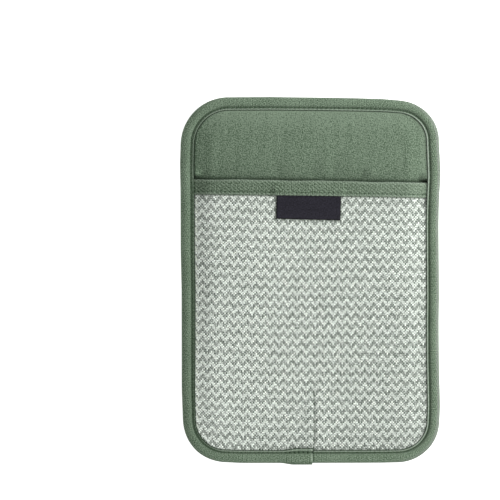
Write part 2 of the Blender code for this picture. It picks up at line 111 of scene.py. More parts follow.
# %% [markdown]
# ## The uneven outline
#
# A sewn pot holder is never a perfect rounded rectangle. Each piece is first worked out in the perfect one,
# and then all of them are moved by one rule: `settle` pushes a point outward by what its edge strays there,
# fully at the edge and hardly at all in the middle. Bending every layer alike keeps them lying inside each
# other. Two curves used everywhere are written here too: `smooth`, an even step, and `bell`, a soft bump.

# %% Settling into the sewn shape
STRAY = {  # mm outward at places along each edge
    "right": (
        (-100, 0.3), (-88, 0.9), (-57, 0.1), (-28, -0.1), (-12, 0.2),
        (38, -0.2), (56, 0.1), (75, 1.3), (97, 0.2),
    ),
    "left": ((-103, -1.5), (-92, -1.1), (-76, -0.5), (-7, -0.4), (21, 0.2), (62, 0.3), (81, 0.7), (97, 0.2)),
    "top": ((-60, 0.0), (-28, 0.2), (14, -0.3), (34, -0.7), (52, -1.3), (62, -2.2)),
    "bottom": ((-68, -0.8), (-58, -0.4), (-48, 0.1), (-20, 0.1), (30, 0.0), (50, -0.1), (62, -0.4)),
}
STRAY_SOFTNESS = 7  # mm over which its bends are eased
CENTRE = np.array((-0.26, 0.58)) * MM  # brings the middle of the outline over the origin


def smooth(value, start, end):
    """0 before start, 1 after end, and an even S-curve between them: 3t^2 - 2t^3."""
    t = np.clip((value - start) / (end - start), 0, 1)
    return t * t * (3 - 2 * t)


def bell(value, width):
    """1 where the value is 0, fading evenly on both sides: exp(-(value / width)^2)."""
    return np.exp(-((value / width) ** 2))


def stray(edge, place):
    """How far an edge lies outward at a place along it: its table, joined by lines and eased."""
    places, shifts = np.array(STRAY[edge]).T
    fine = np.arange(-130.0, 131.0)  # mm, a little beyond both ends
    average = np.ones(STRAY_SOFTNESS) / STRAY_SOFTNESS
    eased = np.convolve(np.interp(fine, places, shifts), average, "same")
    return np.interp(place, fine * MM, eased * MM)


def settle(points):
    """Moves points from the perfect shape to the sewn one: out by stray * (share of the way out)^3."""
    x, y = points[..., 0], points[..., 1]
    side = np.where(x > 0, stray("right", y), -stray("left", y)) * np.abs(x / (WIDTH / 2)) ** 3
    end = np.where(y > 0, stray("top", x), -stray("bottom", x)) * np.abs(y / (LENGTH / 2)) ** 3
    settled = points.copy()
    settled[..., 0] += side + CENTRE[0]
    settled[..., 1] += end + CENTRE[1]
    return settled


print("Largest strays in mm:", {edge: max(abs(out) for _, out in table) for edge, table in STRAY.items()})

# %% [markdown]
# ## Meshes from rings
#
# A mesh could be made with Blender's own tools, but cloth that follows a formula is easier to write as an
# array. `skin` is the one mesh maker here: it takes stacks of rings of points and covers them with quads. A
# flat cloth is a stack of flat rings (over the top, back underneath), a tape is its section carried along a
# path, and a row of stitches is many small stacks at once. Each corner also gets the cloth's own coordinates
# in millimetres, which the weaves read.

# %% The mesh maker
def quads_of(grid):
    """The four corners of each cell of a grid of numbers, one row for each cell."""
    corners = (grid[..., :-1, :-1], grid[..., :-1, 1:], grid[..., 1:, 1:], grid[..., 1:, :-1])
    return np.stack(corners, -1).reshape(-1, 4)


def end_quads(ring, flip):
    """Quads that close a ring whose second half runs back under its first."""
    half = ring.shape[-1] // 2
    strip = np.stack([ring[..., :half], ring[..., ::-1][..., :half]], -2)
    return quads_of(strip)[:, ::-1] if flip else quads_of(strip)


def shell(grid, joined):
    """Quads round every stack and, unless it is joined end to end, over both its ends."""
    if joined:
        return quads_of(grid)
    ends = [end_quads(grid[:, end, :-1], flip) for end, flip in ((0, False), (-1, True))]
    return np.concatenate([quads_of(grid), *ends])


def skin(name, rings, finish, joined=False, cloth=None, marks=None, sharp=40):
    """A closed mesh over stacks of rings, shaped (stacks, rings, around, 3), joined end to end or capped.

    cloth gives mm coordinates at the corners, with one place more around, and one ring more where joined.
    Without it they are the plan's own. marks are numbers for each point, by name. The faces are turned
    outward by the sign of the volume, which is a sixth of the sum of a . (b x c) over the triangles."""
    rings = rings if rings.ndim == 4 else rings[None]
    ids = np.arange(rings[..., 0].size).reshape(rings.shape[:3])
    around = np.concatenate([ids, ids[..., :1]], -1)
    grid = np.concatenate([around, around[:, :1]], 1) if joined else around
    points = settle(rings).reshape(-1, 3)
    corner = rings[..., :2].reshape(-1, 2)[grid] / MM if cloth is None else cloth.reshape(*grid.shape, 2)
    places = np.arange(grid.size).reshape(grid.shape)
    faces, spots = shell(grid, joined), shell(places, joined)
    a, b, c, d = (points[faces[:, i]] for i in range(4))
    volume = np.einsum("ij,ij->", a, np.cross(b, c)) + np.einsum("ij,ij->", a, np.cross(c, d))
    if volume < 0:
        faces, spots = faces[:, ::-1], spots[:, ::-1]
    mesh = bpy.data.meshes.new(name)
    mesh.from_pydata(points, [], faces.tolist())
    mesh.uv_layers.new(name="cloth").uv.foreach_set("vector", corner.reshape(-1, 2)[spots].ravel())
    for mark, values in (marks or {}).items():
        mesh.attributes.new(mark, "FLOAT", "POINT").data.foreach_set("value", np.ravel(values))
    mesh.shade_smooth()
    mesh.set_sharp_from_angle(angle=math.radians(sharp))
    mesh.materials.append(finish)
    piece = bpy.data.objects.new(name, mesh)
    bpy.context.scene.collection.objects.link(piece)
    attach(piece, "root")
    size = np.ptp(points, 0) / MM
    print(f"{name}: {2 * len(faces)} triangles, {size[0]:.1f} x {size[1]:.1f} x {size[2]:.1f} mm")
    return piece


# %% Rings from a grid or a section
def layer(x, y, low, high):
    """Rings of a flat piece: each row of the grid over the top, then back underneath."""
    over = np.stack([x, y, np.broadcast_to(high, x.shape)], -1)
    under = np.stack([x, y, np.broadcast_to(low, x.shape)], -1)
    return np.concatenate([over, under[:, ::-1]], 1)


def over_and_back(grid):
    """The grid's own coordinates in the order of a layer's rings: over the top, back underneath, closed."""
    return np.concatenate([grid, grid[:, ::-1], grid[:, :1]], 1)


def resampler(section, count, rounds, closed=False, crowding=0.0):
    """A matrix that turns a section's few points into count points, with its corners eased.

    Row i holds the shares of the two nearest points at t of the way, moved on by crowding * t (1 - t), which
    crowds the points towards the end. Each round averages a point with its neighbours by 1/4, 1/2, 1/4. The
    same matrix then serves every place along a path."""
    section = np.vstack([section, section[:1]]) if closed else np.asarray(section)
    run = np.concatenate([[0], np.cumsum(np.hypot(*np.diff(section, axis=0).T))])
    t = np.linspace(0, 1, count, endpoint=not closed)
    at = run[-1] * (t + crowding * t * (1 - t))
    shares = np.stack([np.interp(at, run, row) for row in np.eye(len(run))], 1)
    for _ in range(rounds):
        eased = (np.roll(shares, 1, 0) + 2 * shares + np.roll(shares, -1, 0)) / 4
        if not closed:
            eased[0], eased[-1] = shares[0], shares[-1]
        shares = eased
    if closed:
        shares[:, 0] += shares[:, -1]
        shares = shares[:, :-1]
    return shares


# %% [markdown]
# ## Heights of the layers
#
# The padding is flat where the binding squeezes it and crowned inside. The pocket lies on it at three sides
# and stands open at its mouth. These are the rules of the solids, now used on whole arrays of points: first
# those of the plan, then those of the heights.

# %% Rules of the plan
def radius_at(x, y):
    """The corner radius of the quarter that a point lies in."""
    top = np.where(x > 0, RADII[1, 1], RADII[-1, 1])
    return np.where(y > 0, top, np.where(x > 0, RADII[1, -1], RADII[-1, -1]))


def edge_distance(x, y):
    """How far inside the rounded rectangle a point lies."""
    radius = radius_at(x, y)
    dx, dy = np.abs(x) - (WIDTH / 2 - radius), np.abs(y) - (LENGTH / 2 - radius)
    return radius - np.hypot(np.maximum(dx, 0), np.maximum(dy, 0)) - np.minimum(np.maximum(dx, dy), 0)


def half_width(sign, y, inset):
    """From the middle line to the outline moved inward, at a height: straight, then the corner's arc."""
    radius = radius_at(sign, y)
    past = np.maximum(np.abs(y) - (LENGTH / 2 - radius), 0)
    return WIDTH / 2 - radius + np.sqrt(np.maximum((radius - inset) ** 2 - past**2, 0))


def across_at(share, y):
    """x at a share of the way from the middle line, 0, to the layers' left rim, -1, or right rim, 1."""
    return share * np.where(share > 0, half_width(1, y, LAYER_INSET), half_width(-1, y, LAYER_INSET))


def lip_inset(x, y):
    """How wide the binding shows there: a little more at the left and the top, by the outward direction, and
    more again on the lap, where one end of the tape lies over the other."""
    radius = radius_at(x, y)
    across = np.sign(x) * np.maximum(np.abs(x) - (WIDTH / 2 - radius), 0)
    along = np.sign(y) * np.maximum(np.abs(y) - (LENGTH / 2 - radius), 0)
    length = np.maximum(np.hypot(across, along), 1e-6)
    right, up = across / length, along / length
    on_lap = smooth(x, LAP_FROM, LAP_FROM + 12 * MM) * (1 - smooth(x, LAP_TO, LAP_TO + 0.6 * MM))
    lap = 1.3 * on_lap * (up < 0)
    left = 0.25 * np.maximum(-right, 0) * smooth(y, -95 * MM, -40 * MM)
    return BINDING_WIDTH + (0.25 - 0.25 * right + 0.2 * up + left + lap) * MM


def lip_shade(x, y):
    """1 where a cloth goes in under the binding's lip and 0 from 0.5 mm inside it. The lip at the right and
    at the top faces the light, and there it is a tenth of that."""
    dark = 1 - smooth(edge_distance(x, y) - lip_inset(x, y), -0.1 * MM, 0.45 * MM)
    light_gets_in = np.maximum(smooth(x, 70 * MM, 78 * MM), smooth(y, 110 * MM, 117 * MM))
    return dark * (1 - 0.9 * light_gets_in)


def mouth_y(x):
    """The upper edge of the pocket's band."""
    return MOUTH_LEFT + (MOUTH_RIGHT - MOUTH_LEFT) * (x / WIDTH + 0.5)


def up_to_band(x, y):
    """0 well below the band and 1 from just under it on up."""
    low = mouth_y(x) - BAND_HEIGHT - BAND_BESIDE
    return smooth(y, low - BAND_FADE, low)


def down_to_mouth(x, y):
    """0 well above the mouth and 1 from just over it on down."""
    high = mouth_y(x) + BAND_BESIDE
    return smooth(y, high + BAND_FADE, high)


# %% Rules of the heights
DART_SWELL, DART_GROOVE = (1.1 * MM, 7 * MM, 16 * MM), (1.0 * MM, 1.1 * MM, 5 * MM)  # height, width, fading


def body_top(x, y):
    """The padding's upper face: its squeezed edge plus the crown, pinched where the band enters the tape."""
    crown = smooth(edge_distance(x, y), CROWN_FROM, CROWN_TO)
    pinch = BODY_PINCH * (1 - crown) * up_to_band(x, y) * down_to_mouth(x, y)
    return BODY_EDGE_TOP + BODY_CROWN * crown - pinch


def from_dart(x, y):
    """How far to the right of the dart's sewn line a point lies. The line waves a little as it goes down."""
    return x - DART_X - 0.4 * MM * np.sin(y / (9 * MM))


def dart(x, y):
    """The dart: a bell-shaped groove in a wider bell-shaped swell, both fading at its top."""
    across = from_dart(x, y)
    (high, wide, fading), (deep, narrow, sooner) = DART_SWELL, DART_GROOVE
    swell = high * bell(across, wide) * smooth(y, DART_TOP, DART_TOP - fading)
    return swell - deep * bell(across, narrow) * smooth(y, DART_TOP, DART_TOP - sooner)


def pocket_bottom(x, y):
    """The pocket's under face: the padding's, plus an arch 1 - |x/w|^4 that grows towards the mouth."""
    width = WIDTH / 2 - BINDING_WIDTH - 0.6 * MM
    arch = np.clip(1 - (np.abs(x) / width) ** 4, 0, 1) * smooth(y, POCKET_RISE_FROM, POCKET_RISE_TO)
    room = POCKET_CLEAR + BAND_ROOM * up_to_band(x, y) + POCKET_LIFT * arch
    folds = dart(x, y) * smooth(edge_distance(x, y), BINDING_WIDTH + 1 * MM, BINDING_WIDTH + 5 * MM)
    return body_top(x, y) + room + np.maximum(folds, 0)


def label_lift(x):
    """How far the band's lower edge is lifted by the label under it."""
    beside = np.abs(x - LABEL_X) - LABEL_WIDTH / 2
    return (LABEL_THICK + 1.5 * GAP) * (1 - smooth(beside, 0.8 * MM, 4 * MM))


def binding_faces(x, y):
    """The binding's upper and lower inner faces beside the layers that it holds."""
    pocket = down_to_mouth(x, y)
    band_here = up_to_band(x, y) * pocket
    upper = BODY_EDGE_TOP - BODY_PINCH * band_here + GAP
    upper = upper + (POCKET_CLEAR + POCKET_THICK) * pocket + 2 * BAND_ROOM * band_here
    at_loop = np.where(y > LIP_Y, 1 - smooth(np.abs(x), 13 * MM, 22 * MM), 0)
    return upper, SHEET_BOTTOM - GAP - (LOOP_THICK + GAP) * at_loop


MOUTH_HEIGHT = pocket_bottom(np.array(0.0), mouth_y(0.0))
print(f"At the middle of its mouth, the pocket's under face is {MOUTH_HEIGHT / MM:.1f} mm above the table")

# %% [markdown]
# ## Shader maths in plain Python
#
# A weave is a sum of waves and steps, which is clumsy to wire by hand. `Signal` wraps a socket so that
# `1 - mask * 0.3` builds its Math nodes, and `Finish` is a new material with one method, `node`, that adds
# any other node. Colours are given as they look in the picture on the 0 to 255 scale. `TABLE_LIGHT` divides
# them, because the lights at the end show a white surface that much brighter than 1.

# %% Colours and signals
TABLE_LIGHT = 1.25


def picture(red, green, blue):
    """A colour of the finished picture as a material's linear colour."""
    c = np.array((red, green, blue)) / 255
    return (*(np.where(c <= 0.04045, c / 12.92, ((c + 0.055) / 1.055) ** 2.4) / TABLE_LIGHT), 1.0)


class Signal:
    """A socket that Python's arithmetic works on. Each operation adds one Math node."""

    def __init__(self, finish, socket):
        self.finish, self.socket = finish, socket

    def maths(self, operation, *values):
        """The result of a Math node on these numbers or signals."""
        node = self.finish.nodes.new("ShaderNodeMath")
        node.operation = operation
        for socket, value in zip(node.inputs, values):
            self.finish.feed(socket, value)
        return Signal(self.finish, node.outputs[0])

    def __add__(self, other):
        return self.maths("ADD", self, other)

    def __sub__(self, other):
        return self.maths("SUBTRACT", self, other)

    def __rsub__(self, other):
        return self.maths("SUBTRACT", other, self)

    def __mul__(self, other):
        return self.maths("MULTIPLY", self, other)

    def __truediv__(self, other):
        return self.maths("DIVIDE", self, other)

    def __mod__(self, other):
        return self.maths("FLOORED_MODULO", self, other)

    def __pow__(self, other):
        return self.maths("POWER", self, other)

    def __abs__(self):
        return self.maths("ABSOLUTE", self)

    def __round__(self):
        return self.maths("ROUND", self)

    def sin(self):
        """The sine of the signal."""
        return self.maths("SINE", self)

    def step(self, start, end):
        """A smooth step from 0 at start to 1 at end."""
        settings = {"interpolation_type": "SMOOTHSTEP"}
        inputs = {"Value": self, "From Min": start, "From Max": end}
        return self.finish.node("ShaderNodeMapRange", settings, inputs)

    __radd__ = __add__
    __rmul__ = __mul__


# %% Finishes
class Finish:
    """A new Principled material, and what adds nodes to it."""

    def __init__(self, name, constants):
        self.material = bpy.data.materials.new(name)
        self.material.use_nodes = True
        tree = self.material.node_tree
        self.nodes, self.links = tree.nodes, tree.links
        self.surface = self.nodes["Principled BSDF"]
        for socket, value in constants.items():
            self.surface.inputs[socket].default_value = value

    def feed(self, socket, value):
        """Links a signal to a socket, or sets it to a value."""
        if isinstance(value, Signal):
            self.links.new(value.socket, socket)
        else:
            socket.default_value = value

    def node(self, kind, settings, inputs, output=0):
        """Adds a node, with its settings before its inputs, and returns one of its outputs as a signal."""
        node = self.nodes.new(kind)
        for name, value in settings.items():
            setattr(node, name, value)
        for name, value in inputs.items():
            socket = next(s for s in node.inputs if name in (s.identifier, s.name) and s.enabled)
            self.feed(socket, value)
        return Signal(self, node.outputs[output])

    def parts(self, vector):
        """The three numbers of a vector."""
        node = self.nodes.new("ShaderNodeSeparateXYZ")
        self.feed(node.inputs[0], vector)
        return [Signal(self, out) for out in node.outputs]

    def vector(self, x, y, z=0.0):
        """A vector of three numbers."""
        return self.node("ShaderNodeCombineXYZ", {}, {"X": x, "Y": y, "Z": z})

    def cloth(self):
        """The cloth's own coordinates, along and across, in mm."""
        return self.parts(self.node("ShaderNodeUVMap", {"uv_map": "cloth"}, {}))[:2]

    def place(self):
        """The place on the object, in mm."""
        coordinate = self.node("ShaderNodeTexCoord", {}, {}, output=3)
        return [part / MM for part in self.parts(coordinate)]

    def mark(self, name):
        """A number that the mesh carries at each point."""
        return self.node("ShaderNodeAttribute", {"attribute_name": name}, {}, output=2)

    def noise(self, x, y, z=0.0, detail=2.0, roughness=0.5):
        """Soft noise around 0.5 at steps of 1."""
        inputs = {"Vector": self.vector(x, y, z), "Scale": 1.0, "Detail": detail, "Roughness": roughness}
        return self.node("ShaderNodeTexNoise", {}, inputs)

    def chance(self, x, y):
        """A number from 0 to 1 that is another for each pair of whole numbers."""
        return self.node("ShaderNodeTexWhiteNoise", {"noise_dimensions": "2D"}, {"Vector": self.vector(x, y)})

    def blend(self, share, first, second):
        """A colour from first, at 0, to second, at 1."""
        inputs = {"Factor_Float": share, "A_Color": first, "B_Color": second}
        return self.node("ShaderNodeMix", {"data_type": "RGBA", "clamp_factor": True}, inputs, output=2)

    def wear(self, colour, height, depth, strength=1.0, roughness=None):
        """Puts the colour, the relief of the given depth and the roughness on the surface."""
        self.feed(self.surface.inputs["Base Color"], colour)
        bump = {"Height": height, "Distance": depth, "Strength": strength}
        self.feed(self.surface.inputs["Normal"], self.node("ShaderNodeBump", {}, bump))
        if roughness is not None:
            self.feed(self.surface.inputs["Roughness"], roughness)
        return self.material


COTTON = {"Roughness": 0.92, "Specular IOR Level": 0.12, "Sheen Weight": 0.04, "Sheen Roughness": 0.6}

# %% [markdown]
# ## Green cotton: plain weave and twill
#
# The padding's face is a plain weave, one thread over and one under, so its relief is the product of two
# waves, |sin x| |sin y|. The tapes are twill cut on the bias, whose ridges run aslant: a wave of x + y. Real
# yarn is uneven, so long thin noise along both thread directions makes slubs, and a broad noise keeps
# the dye from looking printed.
#
# The meshes carry marks, numbers at each point, that paint light and shade onto the cloth: one is the
# painted shade where a cloth goes in under a lip or the band, one the painted shade of a sewn groove, its
# holes, the gap under the lip, the foot's rim and the tape's sides, one the painted highlight of an edge
# that stands up, and one the painted grey sheen of the roll's shoulder on its lit side. A painted picture
# could say the same, but a mark follows the shape by itself.

# %% The green cottons
CANVAS_THREAD = 0.62  # mm from thread to thread
CANVAS_ROWS = (0.13, 0.537)  # where its threads crowd into faint rows: turns for each mm across and up
TWILL_RIDGES = (0.33, 0.43)  # turns of its ridges for each mm along the tape and across it
TWILL_FLOATS = 0.62  # turns of its floats for each mm along the tape


def slubs(finish, u, v):
    """Uneven yarn both ways, from -0.5 to 0.5: noise stretched along one thread direction plus the other."""
    along = finish.noise(u / 2.6, v / 0.62, detail=1.0)
    across = finish.noise(u / 0.62, v / 2.6, 7.0, detail=1.0)
    return along + across - 1.0


def canvas_finish():
    """Plain-weave cotton in grey green, with painted light and shade: paler beside the top lip and the right
    one, duller at the left, and dark by a mark where it goes in under the lip and the band."""
    finish = Finish("green_canvas", COTTON)
    u, v = finish.cloth()
    threads = abs((u * (math.pi / CANVAS_THREAD)).sin() * (v * (math.pi / CANVAS_THREAD)).sin())
    yarn = slubs(finish, u, v)
    cloudy = finish.noise(u / 4, v / 40, 3.0) - 0.5
    fleck = finish.noise(u / 0.8, v / 0.55, 5.0, detail=0.0) - 0.5
    rows = ((u * CANVAS_ROWS[0] + v * CANVAS_ROWS[1] + finish.noise(u / 40, v / 40, 8.0)) * TURN).sin()
    # painted light beside the top lip and the right lip, and painted shade towards the left
    lit_top = v.step(98.0, 122.0) * 0.4 + v.step(115.8, 117.4) * 0.6
    shaded_left = (1 - u.step(-88.0, -25.0)) * 0.1 + (1 - u.step(-83.0, -66.0)) * 0.16
    light = lit_top - shaded_left + u.step(74.5, 78.5) * 0.3
    tone = 0.53 + yarn * 1.4 + cloudy * 0.6 + fleck * 2.4 + rows * 0.08 + (threads - 0.4) * 0.35 + light
    colour = finish.blend(tone, picture(74, 94, 73), picture(136, 155, 133))
    # painted shade where the cloth goes in under a lip or the band
    shaded = finish.blend(finish.mark("painted_shade"), colour, picture(12, 34, 14))
    return finish.wear(shaded, threads * 0.6 + yarn * 1.2 + fleck * 1.2, 0.3 * MM)


def twill_finish(name, dark, light, lean, ridged):
    """Bias twill: ridges that lean one way (1) or the other (-1), cut into small floats, in two greens, with
    a painted highlight, a painted grey sheen and painted shade over them, each from a mark of the mesh."""
    finish = Finish(name, COTTON)
    u, v = finish.cloth()
    drift = finish.noise(u / 9, v / 9, 2.0) * 0.8
    ridge = ((u * TWILL_RIDGES[0] + v * (TWILL_RIDGES[1] * lean) + drift) * TURN).sin()
    floats = (u * (TWILL_FLOATS * TURN) + ridge).sin()
    fleck = finish.noise(u / 0.9, v / 0.9, 4.0, detail=1.0) - 0.5
    cloudy = finish.noise(u / 18, v / 18, 9.0) - 0.5
    tone = 0.5 + ridge * ridged + floats * 0.07 + fleck * 3.0 + cloudy * 0.4
    colour = finish.blend(tone, dark, light)
    # painted highlight, then painted grey sheen, then painted shade of the groove, its holes and the lip's gap
    painted_highlight = finish.blend(finish.mark("painted_highlight") * 0.5, colour, picture(196, 210, 194))
    painted_sheen = finish.blend(finish.mark("painted_sheen"), painted_highlight, picture(150, 142, 150))
    sewn = finish.blend(finish.mark("painted_twill_shade"), painted_sheen, picture(12, 36, 14))
    relief = ridge * 0.5 + floats * 0.2 + fleck * 0.9
    return finish.wear(sewn, relief, 0.25 * MM)


CANVAS = canvas_finish()
BINDING_TWILL = twill_finish("binding_twill", picture(61, 82, 59), picture(145, 164, 142), 1, 0.05)
BAND_TWILL = twill_finish("band_twill", picture(58, 76, 56), picture(128, 145, 125), -1, 0.11)
print("Green cottons:", CANVAS.name, BINDING_TWILL.name, BAND_TWILL.name)

# %% [markdown]
# ## The zigzag weave
#
# The pocket is a pointed twill: pale yarns run up the cloth and darker ones across it, and the pale ones
# float over some picks, each a step higher than its neighbour, until the slant turns round after three yarns.
# It could be painted as a zigzag line, but it would look printed. Here each yarn floats for the same length
# from its own start, each crossing of the ground weave between the floats is a little lighter or darker by
# chance, and soft noise moves the yarns about. `WEAVE_BOW` is how the rows ride up towards the left edge,
# where the cloth was stretched in sewing.

# %% Rules of the zigzag
ZIGZAG_ACROSS, ZIGZAG_UP = 6.253, 6.558  # mm of one repeat
ZIGZAG_START = (0.466, 0.608)  # the repeat's place over the origin, in repeats
YARNS, PICKS = 6, 5  # in one repeat
FIRST_YARN = 0.13  # the foot yarn's middle in the repeat, in yarns
PEAK_START, FLOAT = 0.21, 0.47  # where the peak yarn's float starts in the repeat, and how long a float is
FLOAT_STEP = 0.21  # from a yarn's float to its neighbour's, in repeats
WEAVE_BOW = (  # mm that the rows ride up at places across
    (-83, 2.2), (-73, 1.44), (-60.6, 0.7), (-48, 0.0),
    (-35.7, -0.4), (-23.2, -0.8), (-10.7, -1.0), (83, -1.25),
)
WEAVE_BOW_FOOT = (0.55, -68, -113)  # mm that the rows ride up at the foot, and where that starts and is full
LEFT_FLOAT = (-80.3, 2.6)  # mm: where the last pale yarn lies beside the left lip, and its lean in a repeat
# The second number is painted shade: the weave is a little darker for each mm to the right, where the light
# falls stronger.
ZIGZAG_BRIGHT, ZIGZAG_SHADE_PER_MM = 0.922, 0.0007  # over the origin, and how much less for each mm to the right


def weave_place(x, y):
    """The woven cloth's own coordinates in mm: across it, and up it along its bowed rows."""
    across, bow = np.array(WEAVE_BOW).T
    most, start, full = WEAVE_BOW_FOOT
    foot = most * smooth(-y / MM, -start, -full) * (1 + smooth(-x / MM, 50, 80))
    return x / MM, y / MM - np.interp(x / MM, across, bow) - foot


def pale_share(u, v):
    """1 on a pale row and 0 on a dark one: the place down the repeat less the zigzag, eased at both ends."""
    column = u / ZIGZAG_ACROSS + ZIGZAG_START[0]
    steps = np.abs((column - FIRST_YARN / YARNS) % 1 * 2 - 1) * YARNS / 2
    down = (ZIGZAG_START[1] - v / ZIGZAG_UP - steps * FLOAT_STEP - PEAK_START + 0.1) % 1
    return smooth(down, 0, 0.2) - smooth(down, FLOAT, FLOAT + 0.2)


print("Zigzag repeat:", ZIGZAG_ACROSS, "x", ZIGZAG_UP, "mm,", YARNS, "yarns across and", PICKS, "picks up")

# %% The zigzag finish
def zigzag_finish():
    """The same zigzag in steps of one yarn: tone = ground + float + crossings (sin x sin y) + ridges + fuzz.

    The tone is a brightness of the picture, from 0 to 1, so its power of 2.2 is the colour."""
    finish = Finish("zigzag_weave", COTTON)
    plain_u, plain_v = finish.cloth()
    u = plain_u + (finish.noise(plain_u / 4, plain_v / 4, 1.0, detail=1.0) - 0.5) * 0.4
    v = plain_v + (finish.noise(plain_u / 4, plain_v / 4, 11.0, detail=1.0) - 0.5) * 0.4
    column = u / ZIGZAG_ACROSS + ZIGZAG_START[0]
    row = ZIGZAG_START[1] - v / ZIGZAG_UP
    yarn = round(column * YARNS - FIRST_YARN)
    steps = abs((yarn / YARNS) % 1.0 * 2 - 1) * (YARNS / 2)
    along = row - steps * FLOAT_STEP - PEAK_START
    down = along % 1.0
    pale = down.step(0.0, 0.05) - down.step(FLOAT - 0.03, FLOAT + 0.08)
    cell = finish.chance(yarn + 40.0, round(row * PICKS)) - 0.5
    own = finish.chance(yarn, along - down) - 0.5
    fuzz = finish.noise(u / 0.62, v / 0.62, 6.0, detail=0.0) - 0.5
    crossing = ((column * 3 + 0.15) * TURN).sin() * ((row * 3 - 0.36) * TURN).sin()
    ridge = ((column * 6 - 0.15) * TURN).sin() * 0.1 + ((column * 3 + 0.1) * TURN).sin() * 0.04
    tone = 0.57 + pale * 0.26 + crossing * (0.12 + cell * 0.55) + ridge * (1 - pale) + own * 0.05 + fuzz * 0.7
    # painted shade: darker towards the right
    bright = ZIGZAG_BRIGHT - plain_u * ZIGZAG_SHADE_PER_MM
    colour = finish.blend((tone * bright) ** 2.2, (0.0, 0.013, 0.001, 1), (0.93, 1.0, 0.92, 1))
    in_row = row % 1.0
    beside = 1 - abs(plain_u - LEFT_FLOAT[0] - in_row * LEFT_FLOAT[1]).step(0.25, 0.6)
    edge = beside * in_row.step(0.28, 0.38) * (1 - in_row.step(0.78, 0.9))
    # painted shade where the pocket goes in under the lips, below the band and the label, and in the dart's
    # groove
    shadowed = finish.blend(finish.mark("painted_shade"), colour, picture(62, 76, 60))
    floated = finish.blend(edge * 0.85, shadowed, picture(222, 232, 214))
    return finish.wear(floated, pale * 0.5 + crossing * 0.2 + fuzz * 0.5 + cell * 0.2, 0.3 * MM)


ZIGZAG = zigzag_finish()
print("Pocket weave:", ZIGZAG.name)

# %% [markdown]
# ## Label, silicone, leather and thread
#
# The label is woven from very fine dark yarn, so it shows rows rather than threads. Silicone is smooth and
# softly shiny, with a faint pebble from its mould. The leather is vegetable-tanned: cloudy, with fine pores,
# and paler where it was cut and where it is folded. The meshes say where that is with the mark "pale", and
# the label's mark "rim" says where its sides are folded.

# %% The other finishes
LABEL_ROW, THREAD_TWIST = 0.9, 0.5  # mm from one woven row, or one turn of the plies, to the next


def label_finish():
    """Fine dark weaving: close rows crossed by closer ribs, with scattered pale fibres."""
    finish = Finish("label_weave", {"Roughness": 0.8, "Specular IOR Level": 0.12})
    u, v = finish.cloth()
    turns = TURN / LABEL_ROW
    rows = (v * turns + (u * turns).sin() * 0.8).sin()
    fuzz = finish.noise(u / LABEL_ROW, v / LABEL_ROW, 2.0, detail=3.0) - 0.5
    broad = finish.noise(u / 9, v / 4, 5.0) - 0.5
    tone = 0.45 + rows * 0.12 + fuzz * 2.2 + broad * 0.5
    colour = finish.blend(tone, picture(25, 25, 30), picture(52, 50, 60))
    edged = finish.blend(finish.mark("rim"), colour, picture(12, 13, 13))
    return finish.wear(edged, rows * 0.4 + fuzz, 0.12 * MM)


def silicone_finish():
    """Moulded silicone: even green with a soft shine and a faint pebble, and darker and a little rougher
    in the grooves.
    """
    shine = {"Specular IOR Level": 0.45, "Coat Weight": 0.04, "Coat Roughness": 0.45}
    finish = Finish("ribbed_silicone", shine)
    x, y, z = finish.place()
    pebble = finish.noise(x / 0.5, y / 0.5, z / 0.5, detail=2.0) - 0.5
    broad = finish.noise(x / 30, y / 9, 1.0) - 0.5
    groove = z.step(0.3, 2.2)
    tone = 0.55 + broad * 0.6 + pebble * 0.3 - groove * 0.35
    colour = finish.blend(tone, picture(64, 84, 61), picture(104, 125, 100))
    return finish.wear(colour, pebble, 0.05 * MM, roughness=0.5 + broad * 0.16 + groove * 0.12)


def leather_finish():
    """Tan leather: cloudy dye, pores, fine creases across the strap, and pale cut edges."""
    finish = Finish("tan_leather", {"Specular IOR Level": 0.4, "Sheen Weight": 0.04})
    x, y, z = finish.place()
    cloudy = finish.noise(x / 9, y / 14, 1.0, detail=3.0) - 0.5
    grain = finish.noise(x / 0.45, y / 0.45, z / 0.45, detail=3.0) - 0.5
    cells = {"Vector": finish.vector(x / 0.8, y / 0.8, z / 0.8), "Scale": 1.0}
    pores = finish.node("ShaderNodeTexVoronoi", {"feature": "DISTANCE_TO_EDGE"}, cells).step(0.0, 0.16)
    creases = finish.noise(x / 7, y / 0.9, 4.0, detail=2.0).step(0.58, 0.72)
    tone = 0.5 + cloudy * 1.2 + grain * 0.7 + pores * 0.12 - creases * 0.2
    colour = finish.blend(tone, picture(114, 66, 38), picture(176, 116, 80))
    edged = finish.blend(finish.mark("pale") * (0.75 + grain), colour, picture(205, 168, 138))
    relief = pores * 0.5 + grain * 0.8 - creases * 0.6
    return finish.wear(edged, relief, 0.12 * MM, roughness=0.62 - cloudy * 0.2)


def thread_finish():
    """Green sewing thread: two plies twisted, which is a wave along each stitch."""
    finish = Finish("sewing_thread", {"Roughness": 0.7, "Sheen Weight": 0.1})
    u, v = finish.cloth()
    twist = ((u * 1.2 + v) * (TURN / THREAD_TWIST)).sin()
    colour = finish.blend(0.5 + twist * 0.3, picture(40, 74, 38), picture(84, 116, 80))
    return finish.wear(colour, twist, 0.08 * MM)


LABEL_WEAVE, SILICONE = label_finish(), silicone_finish()
LEATHER, THREAD = leather_finish(), thread_finish()
print("Other finishes:", LABEL_WEAVE.name, SILICONE.name, LEATHER.name, THREAD.name)

# %% [markdown]
# ## The padded panel
#
# Cotton over wadding, quilt-thick, whose face shows above the pocket. It could be simulated as a cushion, but
# it is a flat pad pressed by its binding, so its crown is a rule. The cloth is not quite flat there: soft
# streaks run up from the mouth, and one pucker lies by it where the wadding bunches.

